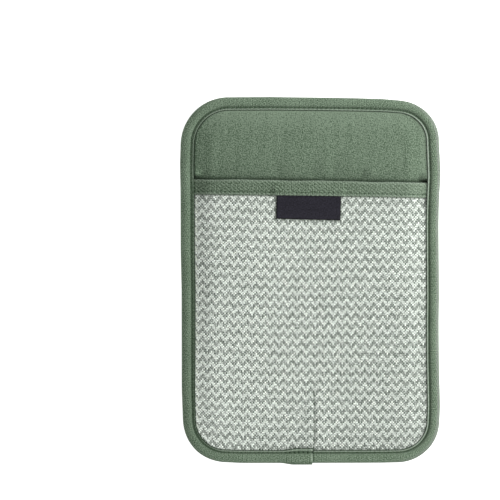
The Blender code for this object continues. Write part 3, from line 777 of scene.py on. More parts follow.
# %% The padded panel
PANEL_FOLDS = (  # mm: place across, width, height, and how far up from the mouth it has faded
    (-24.0, 4.5, -0.42, 40), (-14.0, 5.0, 0.33, 32), (1.8, 4.0, -0.42, 44), (10.0, 4.5, 0.36, 36),
    (17.7, 3.5, -0.36, 42), (27.0, 5.0, 0.36, 28), (37.0, 2.0, -0.80, 13), (43.0, 3.5, 0.50, 16),
    (-45.0, 7.0, 0.36, 32), (-60.0, 6.0, -0.32, 26), (60.0, 6.0, -0.32, 32),
)
PUCKER = 36.6 * MM  # across, where the wadding bunches at the mouth


def panel_folds(x, y):
    """Soft streaks up from the mouth: bells across, fading upward, leaning a little."""
    up = (y - mouth_y(x)) / MM
    total = np.zeros_like(x)
    for across, width, height, reach in PANEL_FOLDS:
        fold = height * bell(x / MM - across - 0.04 * up, width)
        total += fold * smooth(up, 1.5, 5) * (1 - smooth(up, 0.25 * reach, reach))
    return total * MM * smooth(edge_distance(x, y), CROWN_FROM, CROWN_TO)


def panel_rise(x, y):
    """How far the wadding puffs up beside the binding above the mouth: to the lip where it is lifted, fading
    6 mm further in."""
    free = np.maximum(binding_faces(x, y)[0] - GAP - body_top(x, y), 0)
    lip = lip_inset(x, y)
    beside = 1 - smooth(edge_distance(x, y), lip + 0.5 * MM, lip + 6 * MM)
    return free * beside * smooth(y - mouth_y(x), 0.8 * MM, 3 * MM)


def mouth_shade(x, y):
    """How dark the cloth gets as it goes in under the band: 0.75 (1 - s)^2 over 4.5 mm, and up to 0.5 along
    the pucker."""
    above = y - mouth_y(x)
    mouth = 0.75 * (1 - smooth(above, 0, 4.5 * MM)) ** 2
    pucker = bell(x - PUCKER - 0.1 * above, 1.5 * MM) * (1 - smooth(above, 2 * MM, 11 * MM))
    return np.maximum(mouth, 0.5 * pucker)


def make_padded_panel():
    """A crowned layer: rows from side to side, closer together where they show, the top by body_top plus the
    folds, and a rounded rim."""
    end = LENGTH / 2 - LAYER_INSET
    rows = np.concatenate([np.linspace(-end, 50 * MM, 46), np.linspace(51 * MM, end, 78)])
    share, y = np.meshgrid(np.linspace(-1, 1, 131), rows)
    x = across_at(share, y)
    rim = smooth(edge_distance(x, y) - LAYER_INSET, 0, 0.7 * MM)
    high = body_top(x, y) + panel_folds(x, y) + panel_rise(x, y)
    middle = (BODY_BOTTOM + BODY_EDGE_TOP) / 2
    rings = layer(x, y, middle + (BODY_BOTTOM - middle) * rim, middle + (high - middle) * rim)
    # painted shade where the cloth goes in under the lip and the band, and along the pucker
    shade = np.maximum(lip_shade(x, y) * 0.8, mouth_shade(x, y))
    return skin("padded_panel", rings, CANVAS, marks={"painted_shade": np.concatenate([shade, np.zeros_like(x)], 1)})


panel = make_padded_panel()
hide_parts("padded_body")

# %% [markdown]
# ## The ribbed back
#
# One moulded sheet with ribs across it. A rib's section is z = h (t/p)^n, flat at its crest and steep into a
# narrow groove, which one formula gives. The rows of the mesh follow the ribs and its columns follow the
# outline, so the ribs end cleanly beside the binding. The leather loop presses the ribs in where it lies.

# %% Heights of the ribs
RIB_ROUNDNESS = 3.5  # n of the section
RIB_STEPS = np.array((0, 0.31, 0.55, 0.74, 0.87, 0.95, 1.0))  # from a crest to a groove


def rib_height(y):
    """Height of the ribs above the surface: RIB_HEIGHT * (distance from the crest / half a pitch)^n."""
    from_crest = np.abs((y - RIB_FIRST_VALLEY) % RIB_PITCH - RIB_PITCH / 2)
    return RIB_HEIGHT * (from_crest / (RIB_PITCH / 2)) ** RIB_ROUNDNESS


def loop_reach(x, y):
    """How far inside the loop's plan a point lies: the least distance to its sides and its slanting ends."""
    slant = np.where(x < LOOP_TIP_SHIFT, LOOP_HALF + LOOP_TIP_SHIFT, LOOP_HALF - LOOP_TIP_SHIFT)
    rise = (y - LOOP_TIP_Y) - np.abs(x - LOOP_TIP_SHIFT) * LOOP_LEG_WIDTH / slant
    return np.minimum(LOOP_HALF - np.abs(x), rise * 0.75)


def loop_dent(x, y):
    """What the ribs can't go below under the loop: the strap's thickness, twice that at its folded tip."""
    folded_to = LOOP_TIP_Y + LOOP_LEG_WIDTH
    tip = smooth(-y, -(folded_to + 2.5 * MM), -folded_to)
    root = smooth(y, LIP_Y - LOOP_SLOPE - 3 * MM, LIP_Y)
    depth = (LOOP_THICK + GAP) * (1 + tip) + (SHEET_BOTTOM - LOOP_THICK - GAP - 0.05 * MM) * root
    return np.minimum(depth, SHEET_BOTTOM - 0.02 * MM) * smooth(loop_reach(x, y), -1.4 * MM, -0.2 * MM)


# %% The ribbed back
BY_LOOP = np.array((0, 3.5, 7, 9.5, 10.6, 11.2, 11.6, 12.0, 12.6, 13.4, 16, 20, 25, 31, 38, 45)) * MM


def rib_rows(inner, outer):
    """Heights of the mesh's rows: close together in each groove, and on both sides of where the ribs stop."""
    crests = RIB_FIRST_VALLEY + RIB_PITCH / 2 - np.arange(RIB_COUNT) * RIB_PITCH
    steps = np.concatenate([-RIB_STEPS[::-1], RIB_STEPS[1:]]) * RIB_PITCH / 2
    ends = np.array((inner - 0.05 * MM, inner, inner + 0.05 * MM, inner + 3 * MM, outer - 2 * MM, outer))
    rows = np.round(np.concatenate([(crests[:, None] + steps).ravel(), ends, -ends]), 6)
    return np.unique(rows[np.abs(rows) <= outer])


def rib_columns(sign, y, inner):
    """Places across one side in each row: close ones by the loop, even ones to the rim, three beyond it."""
    rim = half_width(sign, np.clip(y, -inner + 0.01 * MM, inner - 0.01 * MM), BINDING_WIDTH + GAP)
    near = np.broadcast_to(BY_LOOP, (len(y), len(BY_LOOP)))
    far = BY_LOOP[-1] + (rim - BY_LOOP[-1]) * np.linspace(0, 1, 9)[None, 1:]
    margin = rim + 0.05 * MM
    edge = margin + (half_width(sign, y, LAYER_INSET) - margin) * np.array([[0, 0.5, 1]])
    return sign * np.concatenate([near, far, edge], 1)


def make_ribbed_back():
    """Rows along the ribs, from edge to edge. Beside the binding the ribs stop and the bare sheet goes on."""
    inner, outer = LENGTH / 2 - BINDING_WIDTH - GAP, LENGTH / 2 - LAYER_INSET
    y = rib_rows(inner, outer)[:, None]
    left, right = (rib_columns(sign, y, inner) for sign in (-1, 1))
    x = np.concatenate([left[:, ::-1], right[:, 1:]], 1)
    y = np.broadcast_to(y, x.shape)
    column = np.arange(x.shape[1])
    ribbed = (np.abs(y) <= inner) & (column > 2) & (column < len(column) - 3)
    low = np.where(ribbed, np.maximum(rib_height(y), loop_dent(x, y)), SHEET_BOTTOM)
    return skin("ribbed_back", layer(x, y, low, SHEET_TOP), SILICONE, sharp=50)


back = make_ribbed_back()
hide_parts("silicone_back")

# %% [markdown]
# ## The pocket cloth
#
# A sheet of the zigzag weave, caught in the binding at three sides and arched at its mouth. Cloth simulation
# would find much the same arch, but it couldn't keep the weave's rows straight. The fine grid also carries
# the weave's own relief, so it shows from the side as well: pale rows stand up, and the short dart at the
# foot is sewn down into a groove.

# %% The pocket cloth
WEAVE_RELIEF = 0.22 * MM
POCKET_COLUMNS, POCKET_ROWS = 193, 205


def dart_groove_shade(x, y):
    """Painted shade in the dart's groove: 1 in it and 0 beside it, in short dashes where its stitches pull."""
    dashes = 0.55 + 0.45 * np.sin(TURN * y / STITCH)
    return bell(from_dart(x, y), 0.6 * MM) * smooth(y, DART_TOP, DART_TOP - 6 * MM) * dashes


def edge_shade(x, y):
    """The dark line on the pocket along the band and the label: a bell of the distance below or beside."""
    band_low = mouth_y(x) - BAND_HEIGHT
    right, up = x - LABEL_X, y - mouth_y(LABEL_X) + BAND_HEIGHT
    across = right * math.cos(LABEL_TURN) + up * math.sin(LABEL_TURN)
    below = -up * math.cos(LABEL_TURN) + right * math.sin(LABEL_TURN) - LABEL_HEIGHT
    from_label = np.maximum(np.abs(across) - LABEL_WIDTH / 2, below)
    band_line = bell(np.maximum(band_low - y, 0), 0.6 * MM)
    return np.maximum(0.6 * band_line, 0.45 * bell(np.maximum(from_label, 0), 0.9 * MM))


def make_pocket_cloth():
    """Rows from the foot to the mouth, columns from side to side, raised by the pale rows of the weave."""
    foot = -(LENGTH / 2 - LAYER_INSET)
    share, v = np.meshgrid(np.linspace(-1, 1, POCKET_COLUMNS), np.linspace(0, 1, POCKET_ROWS))
    top = mouth_y(share * WIDTH / 2) - BAND_THICK - 2 * GAP
    y = foot + (top - foot) * v
    x = across_at(share, y)
    across, up = weave_place(x, y)
    shown = smooth(edge_distance(x, y) - lip_inset(x, y), -0.5 * MM, 1 * MM)
    shown = shown * (1 - smooth(y, top - 13 * MM, top - 11 * MM))
    relief = WEAVE_RELIEF * (pale_share(across, up) - 0.5) * shown
    low = pocket_bottom(x, y)
    high = low + POCKET_THICK + relief + np.minimum(dart(x, y), 0) * 0.6
    cloth = over_and_back(np.stack([across, up], -1))
    # painted shade in the dart's groove, under the lips and along the band and the label
    shade = np.maximum(np.maximum(dart_groove_shade(x, y), lip_shade(x, y) * 0.9), edge_shade(x, y))
    painted_shade = np.concatenate([shade, np.zeros_like(x)], 1)
    return skin("pocket_cloth", layer(x, y, low, high), ZIGZAG, cloth=cloth, marks={"painted_shade": painted_shade})


pocket = make_pocket_cloth()
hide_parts("pocket_panel")

# %% [markdown]
# ## The band over the mouth
#
# A strip of twill folded over the pocket's edge and sewn through once, near its lower edge. Its section is
# the hairpin of the solid, resampled and eased so that the fold is round, and carried from side to side. The
# needle pulls it in at every hole, and the cloth puffs a little between them. A stitch could be a bump in the
# cloth's finish, but thread lies on the cloth and casts a shadow, so each one is a small bead of its own.

# %% Stitches
THREAD_RADIUS, THREAD_SINK = 0.26 * MM, 0.22 * MM


def needle_pull(run):
    """1 at each hole of a sewn row and 0 between them: a bell of the distance to the nearest hole."""
    return bell((run + STITCH / 2) % STITCH - STITCH / 2, 0.55 * MM)


def make_stitches(name, start, end, sink=THREAD_SINK):
    """One small six-sided bead of thread from each start to each end, its ends sunk into their holes.

    A point is the middle of the stitch + t * half its length + THREAD_RADIUS * sqrt(1 - t^4) round it,
    lowered by sink * t^2."""
    t = np.array((-1, -0.85, -0.45, 0, 0.45, 0.85, 1))[None, :, None, None]
    turn = np.radians(60) * np.arange(6)[None, None, :, None]
    middle, half = ((start + end) / 2)[:, None, None], ((end - start) / 2)[:, None, None]
    up = np.array((0, 0, 1.0))
    side = np.cross(half, up)
    side /= np.linalg.norm(side, axis=-1, keepdims=True)
    thick = THREAD_RADIUS * np.sqrt(np.maximum(1 - t**4, 0.05))
    points = middle + half * t + thick * (np.cos(turn) * side + np.sin(turn) * up) - sink * t**2 * up
    return skin(name, points, THREAD, sharp=180)


# %% The band
BAND_STATIONS, BAND_AROUND = 361, 84
BAND_STITCH_UP = 2.3 * MM  # from the band's lower edge to its sewn row
BAND_ROUND = 40  # mm round its section, for the weave


def band_section(x):
    """The hairpin's corners at each place, (places, corners, 2): first its inner side, then its outer one."""
    top, t = mouth_y(x), BAND_THICK
    at = top - 4 * MM  # where the pocket's height is taken
    under = pocket_bottom(x, at) - GAP
    slope = (pocket_bottom(x + MM, at) - pocket_bottom(x - MM, at)) / (2 * MM)
    over = under + POCKET_THICK * np.hypot(1, slope) + 2 * GAP
    low, back_low, lift = top - BAND_HEIGHT, top - BAND_BACK_HEIGHT, label_lift(x)
    tuck = low + LABEL_TUCK + 1.5 * MM
    corners = (
        (low, over + lift), (tuck, over + lift), (top - 1.4 * t, over), (top - t, over - 0.2 * t),
        (top - t, under + 0.2 * t), (top - 1.4 * t, under), (back_low, under), (back_low, under - t),
        (top - 1.8 * t, under - t), (top - 0.4 * t, under - 0.35 * t), (top, (under + over) / 2),
        (top - 0.4 * t, over + 0.35 * t), (top - 1.8 * t, over + t), (tuck, over + t + lift),
        (low + 0.5 * t, over + t + lift), (low, over + 0.6 * t + lift),
    )
    return np.stack([np.stack(corner, -1) for corner in corners], 1)


def band_marks(x, up, front, row):
    """Painted shade at the sewn row's holes, and a painted highlight on the fold and the lower edge, with a
    little more towards the right, where the light comes from.
    """
    fold = bell(up - BAND_HEIGHT + 0.9 * MM, 0.6 * MM) * front
    edge = bell(up - 0.9 * MM, 0.7 * MM) * front
    # painted highlight that grows towards the right, where the light comes from
    lit = 0.14 * smooth(x, 10 * MM, 75 * MM)
    return {"painted_twill_shade": row * needle_pull(x) * 0.6, "painted_highlight": fold * 0.35 + edge * 0.25 + lit}


def sew_band(x, line):
    """Stitches along a line on the band, each over 0.68 of the way from one hole to the next."""
    holes = np.arange(-27, 28) * STITCH
    at = np.stack([np.interp(holes, x, line[:, i]) for i in range(3)], -1)
    at[:, 2] += 0.22 * MM  # up onto the cloth
    gap = 0.16 * (at[1:] - at[:-1])
    return make_stitches("band_stitches", at[:-1] + gap, at[1:] - gap)


def make_band():
    """The eased hairpin carried across, with the needle's pull, wavy edges and its stitches."""
    reach = WIDTH / 2 - LAYER_INSET
    x = np.linspace(-reach, reach, BAND_STATIONS)[:, None]
    corners = band_section(x[:, 0])
    matrix = resampler(corners[BAND_STATIONS // 2], BAND_AROUND, 2, closed=True)
    section = np.einsum("mk,nkc->nmc", matrix, corners)
    up, front = section[..., 0] - (mouth_y(x) - BAND_HEIGHT), np.arange(BAND_AROUND) > BAND_AROUND // 2
    row = bell(up - BAND_STITCH_UP, 0.7 * MM) * front
    lip = (1 - smooth(up, 0, 2.0 * MM)) * front
    puff = np.cos(TURN * x / STITCH)
    section[..., 1] += -row * (0.18 + 0.32 * needle_pull(x)) * MM - lip * 0.06 * MM * puff
    section[..., 0] += (1 - smooth(up, 0, 1.5 * MM)) * 0.10 * MM * puff
    wave = 0.15 * np.sin(x / (9 * MM)) + 0.1 * np.sin(x / (4.3 * MM) + 1)
    section[..., 0] += wave * MM * smooth(up, 5 * MM, BAND_HEIGHT)
    rings = np.concatenate([np.broadcast_to(x[..., None], (*section.shape[:2], 1)), section], -1)
    crosswise = np.linspace(0, BAND_ROUND, BAND_AROUND + 1)
    cloth = np.stack(np.broadcast_arrays(x / MM, crosswise[None]), -1)
    band = skin("mouth_band", rings, BAND_TWILL, cloth=cloth, marks=band_marks(x, up, front, row))
    deepest = int(np.argmax(row[BAND_STATIONS // 2]))
    return band, sew_band(x[:, 0], rings[:, deepest])


band, band_stitches = make_band()
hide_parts("pocket_band")

# %% [markdown]
# ## The label
#
# A blank woven label whose top edge is caught under the band. A woven label is heat-cut and folded under at
# its sides, so it has a round, slightly darker rim. It could be a picture on the pocket, but a real one is
# thick enough to cast a shadow, so it is a layer of its own. It lies on the pocket's curve, turned by a
# degree or so, as it was sewn.

# %% The label
def make_label():
    """A turned rectangle on the pocket: high = pocket + thickness * a rounded rim."""
    share, up = np.meshgrid(np.linspace(-0.5, 0.5, 121), np.linspace(-LABEL_HEIGHT, LABEL_TUCK, 61))
    across = share * LABEL_WIDTH
    x = LABEL_X + across * math.cos(LABEL_TURN) - up * math.sin(LABEL_TURN)
    y = mouth_y(LABEL_X) - BAND_HEIGHT + across * math.sin(LABEL_TURN) + up * math.cos(LABEL_TURN)
    inside = np.minimum(LABEL_WIDTH / 2 - np.abs(across), up + LABEL_HEIGHT)
    rim = np.sqrt(np.clip(inside / (0.6 * MM), 0, 1))
    low = pocket_bottom(x, y) + POCKET_THICK + 1.5 * GAP
    hem = 0.1 * MM * (1 - smooth(inside, 2.5 * MM, 3.2 * MM))
    middle = low + LABEL_THICK * 0.35
    rings = layer(x, y, middle + (low - middle) * rim, middle + (LABEL_THICK * 0.65 + hem - 0.1 * MM) * rim)
    dark = np.concatenate([1 - smooth(inside, 0.2 * MM, 0.9 * MM), np.ones_like(x)], 1)
    cloth = over_and_back(np.stack([across, up], -1)) / MM
    return skin("woven_label", rings, LABEL_WEAVE, cloth=cloth, marks={"rim": dark * 0.8})


label = make_label()
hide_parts("label")

# %% [markdown]
# ## The edge binding
#
# One long bias tape rolled over the edge of every layer and sewn through both its lips at once. A curve with
# a bevel could make a roll too, but not one with a groove on each side. Here its section has a round roll, a
# sewn groove and a lip, and it is carried round the outline at even steps, six to a stitch, so that every
# needle hole has a place of its own. Where the tape's ends overlap, the roll grows and then drops back at the
# folded end.

# %% The path round the edge
STATIONS_PER_STITCH = 6


def edge_path():
    """Points, outward normals and running length at even steps round the perfect outline, anticlockwise."""
    points, normals = [], []
    for turn, signs in enumerate(((1, 1), (-1, 1), (-1, -1), (1, -1))):
        angle = np.radians(90) * (turn + np.linspace(0, 1, 91))
        normal = np.stack([np.cos(angle), np.sin(angle)], -1)
        centre = np.array(signs) * (WIDTH / 2 - RADII[signs], LENGTH / 2 - RADII[signs])
        points.append(centre + RADII[signs] * normal)
        normals.append(normal)
    points = np.concatenate([*points, points[0][:1]])
    normals = np.concatenate([*normals, normals[0][:1]])
    run = np.concatenate([[0], np.cumsum(np.hypot(*np.diff(points, axis=0).T))])
    stitches = round(run[-1] / STITCH)
    at = np.linspace(0, run[-1], stitches * STATIONS_PER_STITCH, endpoint=False)
    even = [np.stack([np.interp(at, run, column) for column in both.T], -1) for both in (points, normals)]
    return even[0], even[1], at, run[-1], stitches


EDGE, OUTWARD, EDGE_RUN, EDGE_LENGTH, EDGE_STITCHES = edge_path()
print(f"Edge: {EDGE_LENGTH / MM:.0f} mm round, {EDGE_STITCHES} stitches")


# %% The tape's section
# Its corners: mm in from the edge, and mm out from the layers' lower or upper face.
LOWER_HALF = ((8.7, 0.95), (8.1, 1.1), (7.2, 0.6), (6.4, 1.1), (4.2, 1.5), (2.2, 1.2), (0.7, 0.2))
UPPER_HALF = (
    (0.7, 0.35), (1.8, 1.2), (3.3, 1.7), (4.8, 1.7), (6.1, 1.3), (6.8, 0.4),
    (7.2, 0.1), (7.7, 0.7), (8.1, 1.0), (8.5, 0.7), (8.95, 0.2),
)
OUTER_POINTS = 52


def outer_path(upper, lower, grow):
    """The outer side of the section at each station: (stations, corners, 2) of inset and height."""
    middle = (upper + lower) / 2
    corners = [(d * MM + 0 * lower, np.maximum(lower - h * MM, 0)) for d, h in LOWER_HALF]
    corners += [(0 * lower, middle + h * (upper - lower) / 2) for h in (-0.55, 0.55)]
    corners += [(d * MM + 0 * lower, upper + h * MM + 0.6 * grow) for d, h in UPPER_HALF]
    path = np.stack([np.stack(corner, -1) for corner in corners], 1)
    path[..., 0] -= grow[:, None] * (1 - path[..., 0] / BINDING_WIDTH)
    return np.einsum("mk,nkc->nmc", resampler(path[0], OUTER_POINTS, 2, crowding=0.45), path)


def inner_path(upper, lower):
    """The inner side of the section at each station, round the layers from the upper lip to the lower one."""
    lip = BINDING_WIDTH - LIP_SHORT
    corners = (
        (BINDING_WIDTH - 0.1 * MM, upper + 0.4 * LIP_SHORT), (lip, upper), (BINDING_WALL, upper),
        (BINDING_WALL, lower), (lip, lower), (BINDING_WIDTH - LIP_SHORT / 2, lower - LIP_SHORT),
    )
    return np.stack([np.stack([d + 0 * height, height], -1) for d, height in corners], 1)


def drawn_in(outer, above, groove, hole):
    """The outer side drawn in at the groove and deeper at each hole, and the lip and the roll puffed up
    between the holes: shift = groove (0.12 + 0.38 hole) + (0.09 lip + 0.035 roll) cos + 0.06 roll * slow."""
    inset, run = outer[..., 0], EDGE_RUN[:, None]
    puff = np.cos(TURN * run / (EDGE_LENGTH / EDGE_STITCHES))
    lip = smooth(inset, 7.5 * MM, 8.1 * MM)
    roll = smooth(inset, 1 * MM, 4 * MM) * (1 - smooth(inset, 5.2 * MM, 6.8 * MM))
    around_once = TURN * run / EDGE_LENGTH
    slow = np.sin(around_once * 9 + inset * 300) + np.sin(around_once * 23 + 2)
    shift = groove * (0.12 + 0.38 * hole) + (lip * 0.09 + roll * 0.035) * puff + roll * 0.06 * slow
    height = np.maximum(outer[..., 1] + np.where(above, -1, 1) * shift * MM, 0.02 * MM)
    return np.stack([inset + lip * 0.07 * MM * puff, height], -1)


# %% The tape's marks
def tape_shade_mark(inset, above, groove, hole, y):
    """Painted shade: the dark of the groove and its holes, of the gap under the upper lip and of the foot's
    outer rim, with a slight darkening at both sides, more at the lower left."""
    facing = OUTWARD[:, :1]  # 1 at the right side, which faces the light, and -1 at the left
    right, left = np.maximum(facing, 0), np.maximum(-facing, 0)
    dark_from, dark_to = 8.35 + 0.2 * right - 0.25 * left, 8.8 - 0.15 * left
    under_lip = smooth(inset, dark_from * MM, dark_to * MM) * above * (0.9 - 0.2 * facing)
    outer_rim = 0.35 * (1 - smooth(inset, 0.4 * MM, 1.1 * MM)) * np.maximum(-OUTWARD[:, 1:], 0)
    low_left = left * smooth(-y, -25 * MM, 15 * MM)
    # painted shade on both sides, more at the lower left
    dull = 0.05 * np.abs(facing) + 0.10 * low_left
    return np.maximum(groove * (0.6 + 0.35 * hole), under_lip) + outer_rim + dull


def painted_highlight_mark(inset, above, y):
    """Painted highlight on the upper lip's ridge: brightest at the right side, and wider by the padded panel.
    """
    facing = OUTWARD[:, :1]
    by_panel = smooth(y, 64 * MM, 72 * MM) * np.abs(facing)
    ridge_at = (8.1 + 0.12 * by_panel * np.maximum(facing, 0)) * MM
    ridge = bell(inset - ridge_at, (0.35 + 0.25 * by_panel) * MM) * above
    return ridge * (0.75 + 0.95 * facing + 0.5 * by_panel * (facing < 0))


def painted_sheen_mark(inset, above):
    """Painted grey sheen on the roll's shoulder at the right side, which faces the light."""
    shoulder = smooth(inset, 0.3 * MM, 0.9 * MM) * (1 - smooth(inset, 1.0 * MM, 3.2 * MM)) * above
    return 0.35 * shoulder * np.maximum(OUTWARD[:, :1], 0)


def tape_marks(inset, above, groove, hole, x, y, inner_points):
    """All three marks, with a painted highlight on the folded end's edge and painted shade on the step
    beside it, and none inside.
    """
    from_end = (x - LAP_TO) / MM + 100.0 * (y > 0)  # mm, and far off on the other half of the edge
    on_top = above * smooth(inset, 0.5 * MM, 2 * MM)
    marks = {
        "painted_twill_shade": tape_shade_mark(inset, above, groove, hole, y) + on_top * bell(from_end - 0.6, 0.4) * 0.6,
        "painted_highlight": painted_highlight_mark(inset, above, y) + on_top * bell(from_end + 0.5, 0.45) * 0.7,
        "painted_sheen": painted_sheen_mark(inset, above),
    }
    return {name: np.pad(mark, ((0, 0), (0, inner_points))) for name, mark in marks.items()}


# %% The binding
SEWN_AT = 7.2 * MM  # from the edge to the needle holes, where the tape is as wide as BINDING_WIDTH
TAPE_ROUND = 42  # mm round its section, for the weave


def sew_edge(rings, inset):
    """The tape's two rows of thread: a stitch reaches 0.36 of the way between holes on both sides of its
    middle."""
    upper_half, lower_half = np.arange(OUTER_POINTS // 2, OUTER_POINTS), np.arange(OUTER_POINTS // 2)
    half_way = STATIONS_PER_STITCH // 2
    threads = []
    for name, half, up in (("edge_stitches", upper_half, 1), ("edge_stitches_below", lower_half, -1)):
        groove = half[np.argmin(np.abs(inset[0, half] - SEWN_AT))]
        line = rings[:, groove].reshape(EDGE_STITCHES, STATIONS_PER_STITCH, 3)
        middle = line[:, half_way] + (0, 0, up * 0.20 * MM)
        middle[:, 2] = np.maximum(middle[:, 2], 0.3 * MM)
        way = line[:, half_way + 1] - line[:, half_way - 1]
        way = way / np.linalg.norm(way, axis=-1, keepdims=True) * STITCH * 0.36
        threads.append(make_stitches(name, middle - way, middle + way, sink=up * THREAD_SINK))
    return threads


def make_binding():
    """The section carried round the edge, drawn in at the holes on both sides, and two rows of thread."""
    x, y = EDGE.T
    upper, lower = binding_faces(x, y)
    grow = LAP_GROWTH * smooth(x, LAP_FROM - MM, LAP_FROM + 9 * MM) * (x < LAP_TO) * (y < 0)
    outer, inner = outer_path(upper, lower, grow), inner_path(upper, lower)
    above = outer[..., 1] > ((upper + lower) / 2)[:, None]
    groove = bell(outer[..., 0] - SEWN_AT, 0.5 * MM)
    hole = needle_pull(EDGE_RUN * STITCH * EDGE_STITCHES / EDGE_LENGTH)[:, None]
    outer = drawn_in(outer, above, groove, hole)
    section = np.concatenate([outer, inner], 1)
    wider = (lip_inset(x, y) - BINDING_WIDTH)[:, None] * smooth(section[..., 0], 6.4 * MM, 8.4 * MM)
    plan = EDGE[:, None] - (section[..., 0] + wider)[..., None] * OUTWARD[:, None]
    rings = np.concatenate([plan, section[..., 1:]], -1)
    lengthwise = np.linspace(0, EDGE_LENGTH / MM, len(x) + 1)
    crosswise = np.linspace(0, TAPE_ROUND, section.shape[1] + 1)
    cloth = np.stack(np.meshgrid(lengthwise, crosswise, indexing="ij"), -1)
    marks = tape_marks(outer[..., 0], above, groove, hole, x[:, None], y[:, None], inner.shape[1])
    binding = skin("edge_tape", rings, BINDING_TWILL, joined=True, cloth=cloth, marks=marks, sharp=55)
    return binding, sew_edge(rings, outer[..., 0])


binding, edge_threads = make_binding()
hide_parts("edge_binding")
for thread in edge_threads:
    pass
TAPE = (EDGE_LENGTH + LAP_TO - LAP_FROM, 25 * MM)  # its cut, without the hems that are turned under

# %% [markdown]
# ## The leather hanging loop
#
# A strap folded flat into two legs with a pointed end, its ends caught in the binding, lying under the back.
# One strip could be bent along a path, but leather folded flat keeps its legs straight. So the loop is two
# straight legs and the folded corner behind their tip. Each is a layer whose rim is rounded, and the mark
# "pale" tells the leather where it was cut and folded.

# %% The loop
STRAP_GRID = np.meshgrid(np.linspace(0, 1, 25), np.linspace(0, 1, 97))  # shares across and along


def round_fold(distance):
    """A fold's rounding: 0 at its edge and 1 from 1.2 mm inside it, along a quarter circle."""
    t = np.clip(distance / (1.2 * MM), 0, 1)
    return np.sqrt(np.clip(1 - (1 - t) ** 2, 0, 1))


def loop_leg(sign):
    """The left (-1) or right (1) leg: rows across it, from the slanting tip to the root, and its pale rim."""
    u, v = STRAP_GRID
    open_slit = 0.2 * MM + 1.0 * MM * (1 - smooth(v, 0.0, 0.30))
    inner = LOOP_TIP_SHIFT * (1 - smooth(v, 0.0, 0.33)) + sign * open_slit
    x = inner + (sign * LOOP_HALF - inner) * u
    slant = LOOP_LEG_WIDTH * np.abs(x - LOOP_TIP_SHIFT) / np.abs(sign * LOOP_HALF - LOOP_TIP_SHIFT)
    y = LOOP_TIP_Y + slant + (LIP_Y + LOOP_ROOT - LOOP_TIP_Y - slant) * v
    cut = np.minimum(u, 1 - u) * (LOOP_HALF - np.abs(inner))
    fold = (y - LOOP_TIP_Y - slant) * 0.7
    rim = np.sqrt(np.clip(cut / (0.35 * MM), 0, 1))
    climb = (SHEET_BOTTOM - LOOP_THICK - GAP) * smooth(y, LIP_Y - LOOP_SLOPE, LIP_Y - 1 * MM)
    waves = 0.06 * MM * np.sin(y / (5 * MM) + sign) * smooth(fold, 2 * MM, 8 * MM)
    rise = climb + np.abs(waves) * (1 - smooth(y, LIP_Y - 9 * MM, LIP_Y - 5 * MM))
    low = rise + LOOP_THICK * (0.5 - 0.5 * rim * round_fold(fold))
    high = rise + LOOP_THICK * (0.5 + 0.47 * rim)
    pale_fold = 0.35 * (1 - smooth(fold, 0.2 * MM, 1.2 * MM))
    pale = np.maximum(1 - smooth(cut, 0.15 * MM, 0.75 * MM), pale_fold)
    return layer(x, y, low, np.maximum(high, low + 0.02 * MM)), pale


def loop_corner():
    """The folded corner on both legs' tips: rows across the whole loop, and its pale fold."""
    u, v = STRAP_GRID
    side = (u * 2 - 1) * LOOP_HALF
    reach = np.where(side > LOOP_TIP_SHIFT, LOOP_HALF - LOOP_TIP_SHIFT, LOOP_HALF + LOOP_TIP_SHIFT)
    slant = LOOP_TIP_Y + LOOP_LEG_WIDTH * np.abs(side - LOOP_TIP_SHIFT) / reach
    back = LOOP_TIP_Y + LOOP_LEG_WIDTH - 0.2 * MM
    y = slant + 0.05 * MM + (back - slant) * v
    bend = round_fold((y - slant) * 0.7)
    high = LOOP_THICK * (1.0 + 0.98 * bend) + 0.02 * MM
    return layer(side * 0.995, y, LOOP_THICK, high), 0.3 * (1 - bend)


def make_loop():
    """Both legs and the corner as one piece, as pale underneath as above."""
    stacks, pale = zip(loop_leg(-1), loop_leg(1), loop_corner())
    marks = {"pale": np.stack([np.concatenate([share, share[:, ::-1]], 1) for share in pale])}
    return skin("hanging_loop_strap", np.stack(stacks), LEATHER, marks=marks, sharp=50)


loop = make_loop()
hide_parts("hanging_loop")

# %% [markdown]
# ## Table, light and camera
#
# A product on white is lit by one large soft light, here from the right, and by the white all round it. A
# weaker one near the foot keeps the lower edge from going dull. The table glows a little, as a light table
# does, so it turns out white without a hard shadow. The camera stands far above with a long lens, as for a
# flat picture of a flat thing.

# %% Table and light
TABLE_HALF = 6.0  # m
AROUND_LIGHT = 0.61  # strength of the white all round


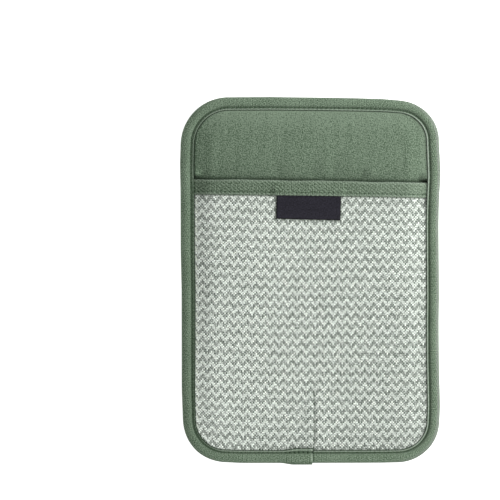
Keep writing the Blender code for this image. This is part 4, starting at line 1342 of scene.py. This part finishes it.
def make_table():
    """A wide white plane just under the pot holder."""
    mesh = bpy.data.meshes.new("table")
    corners = [(x * TABLE_HALF, y * TABLE_HALF, 0) for x, y in ((-1, -1), (1, -1), (1, 1), (-1, 1))]
    mesh.from_pydata(corners, [], [(0, 1, 2, 3)])
    constants = {"Base Color": (0.9, 0.9, 0.9, 1), "Roughness": 1.0, "Specular IOR Level": 0.0}
    glow = {"Emission Color": (1, 1, 1, 1), "Emission Strength": 0.75}
    white = Finish("table_white", constants | glow)
    mesh.materials.append(white.material)
    table = bpy.data.objects.new("table", mesh)
    table.location.z = -0.15 * MM
    bpy.context.scene.collection.objects.link(table)
    table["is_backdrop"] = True


def make_light(name, place, size, watts):
    """A square soft light that faces the pot holder."""
    lamp = bpy.data.lights.new(name, "AREA")
    lamp.size, lamp.energy = size, watts
    light = bpy.data.objects.new(name, lamp)
    light.location = place
    tilt, bearing = math.acos(place[2] / math.hypot(*place)), math.atan2(place[1], place[0])
    light.rotation_euler = (tilt, 0, bearing + math.pi / 2)
    bpy.context.scene.collection.objects.link(light)
    print(f"{name} light: {watts} W, {math.hypot(*place):.2f} m away")


make_table()
make_light("key", (0.62, 0.26, 0.45), 0.5, 8.0)
make_light("fill", (0.45, -0.7, 0.5), 0.5, 2.3)
world = bpy.data.worlds.new("white_room")
world.use_nodes = True
around_white = world.node_tree.nodes["Background"]
around_white.inputs["Color"].default_value = (1, 1, 1, 1)
around_white.inputs["Strength"].default_value = AROUND_LIGHT
bpy.context.scene.world = world
bpy.context.scene.view_settings.view_transform = "Standard"

# %% The camera
VIEW_WIDTH = 346.75 * MM  # what the picture takes in at the height of the pot holder's face
VIEW_MIDDLE = (-41.9 * MM, 21.4 * MM)
LENS, FACE_HEIGHT = 200, 9 * MM

camera = bpy.data.cameras.new("camera")
camera.lens, camera.sensor_width = LENS, 36
camera.clip_start, camera.clip_end = 0.05, 50
eye = bpy.data.objects.new("camera", camera)
eye.location = (*VIEW_MIDDLE, FACE_HEIGHT + VIEW_WIDTH * LENS / camera.sensor_width)
bpy.context.scene.collection.objects.link(eye)
bpy.context.scene.camera = eye
print(f"Camera {eye.location.z:.2f} m above the table")

# %% [markdown]
# ## Sizes and finish
#
# The last cell prints the frame's box and the dressed pot holder's box, to compare them.

# %% Finish
dressed = [list(corner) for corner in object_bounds()]
{"cad": CAD_BOX, "visual": dressed}
for name, box in (("CAD", CAD_BOX), ("Dressed", dressed)):
    print(f"{name} box in mm:", np.round(np.array(box) / MM, 1).tolist())
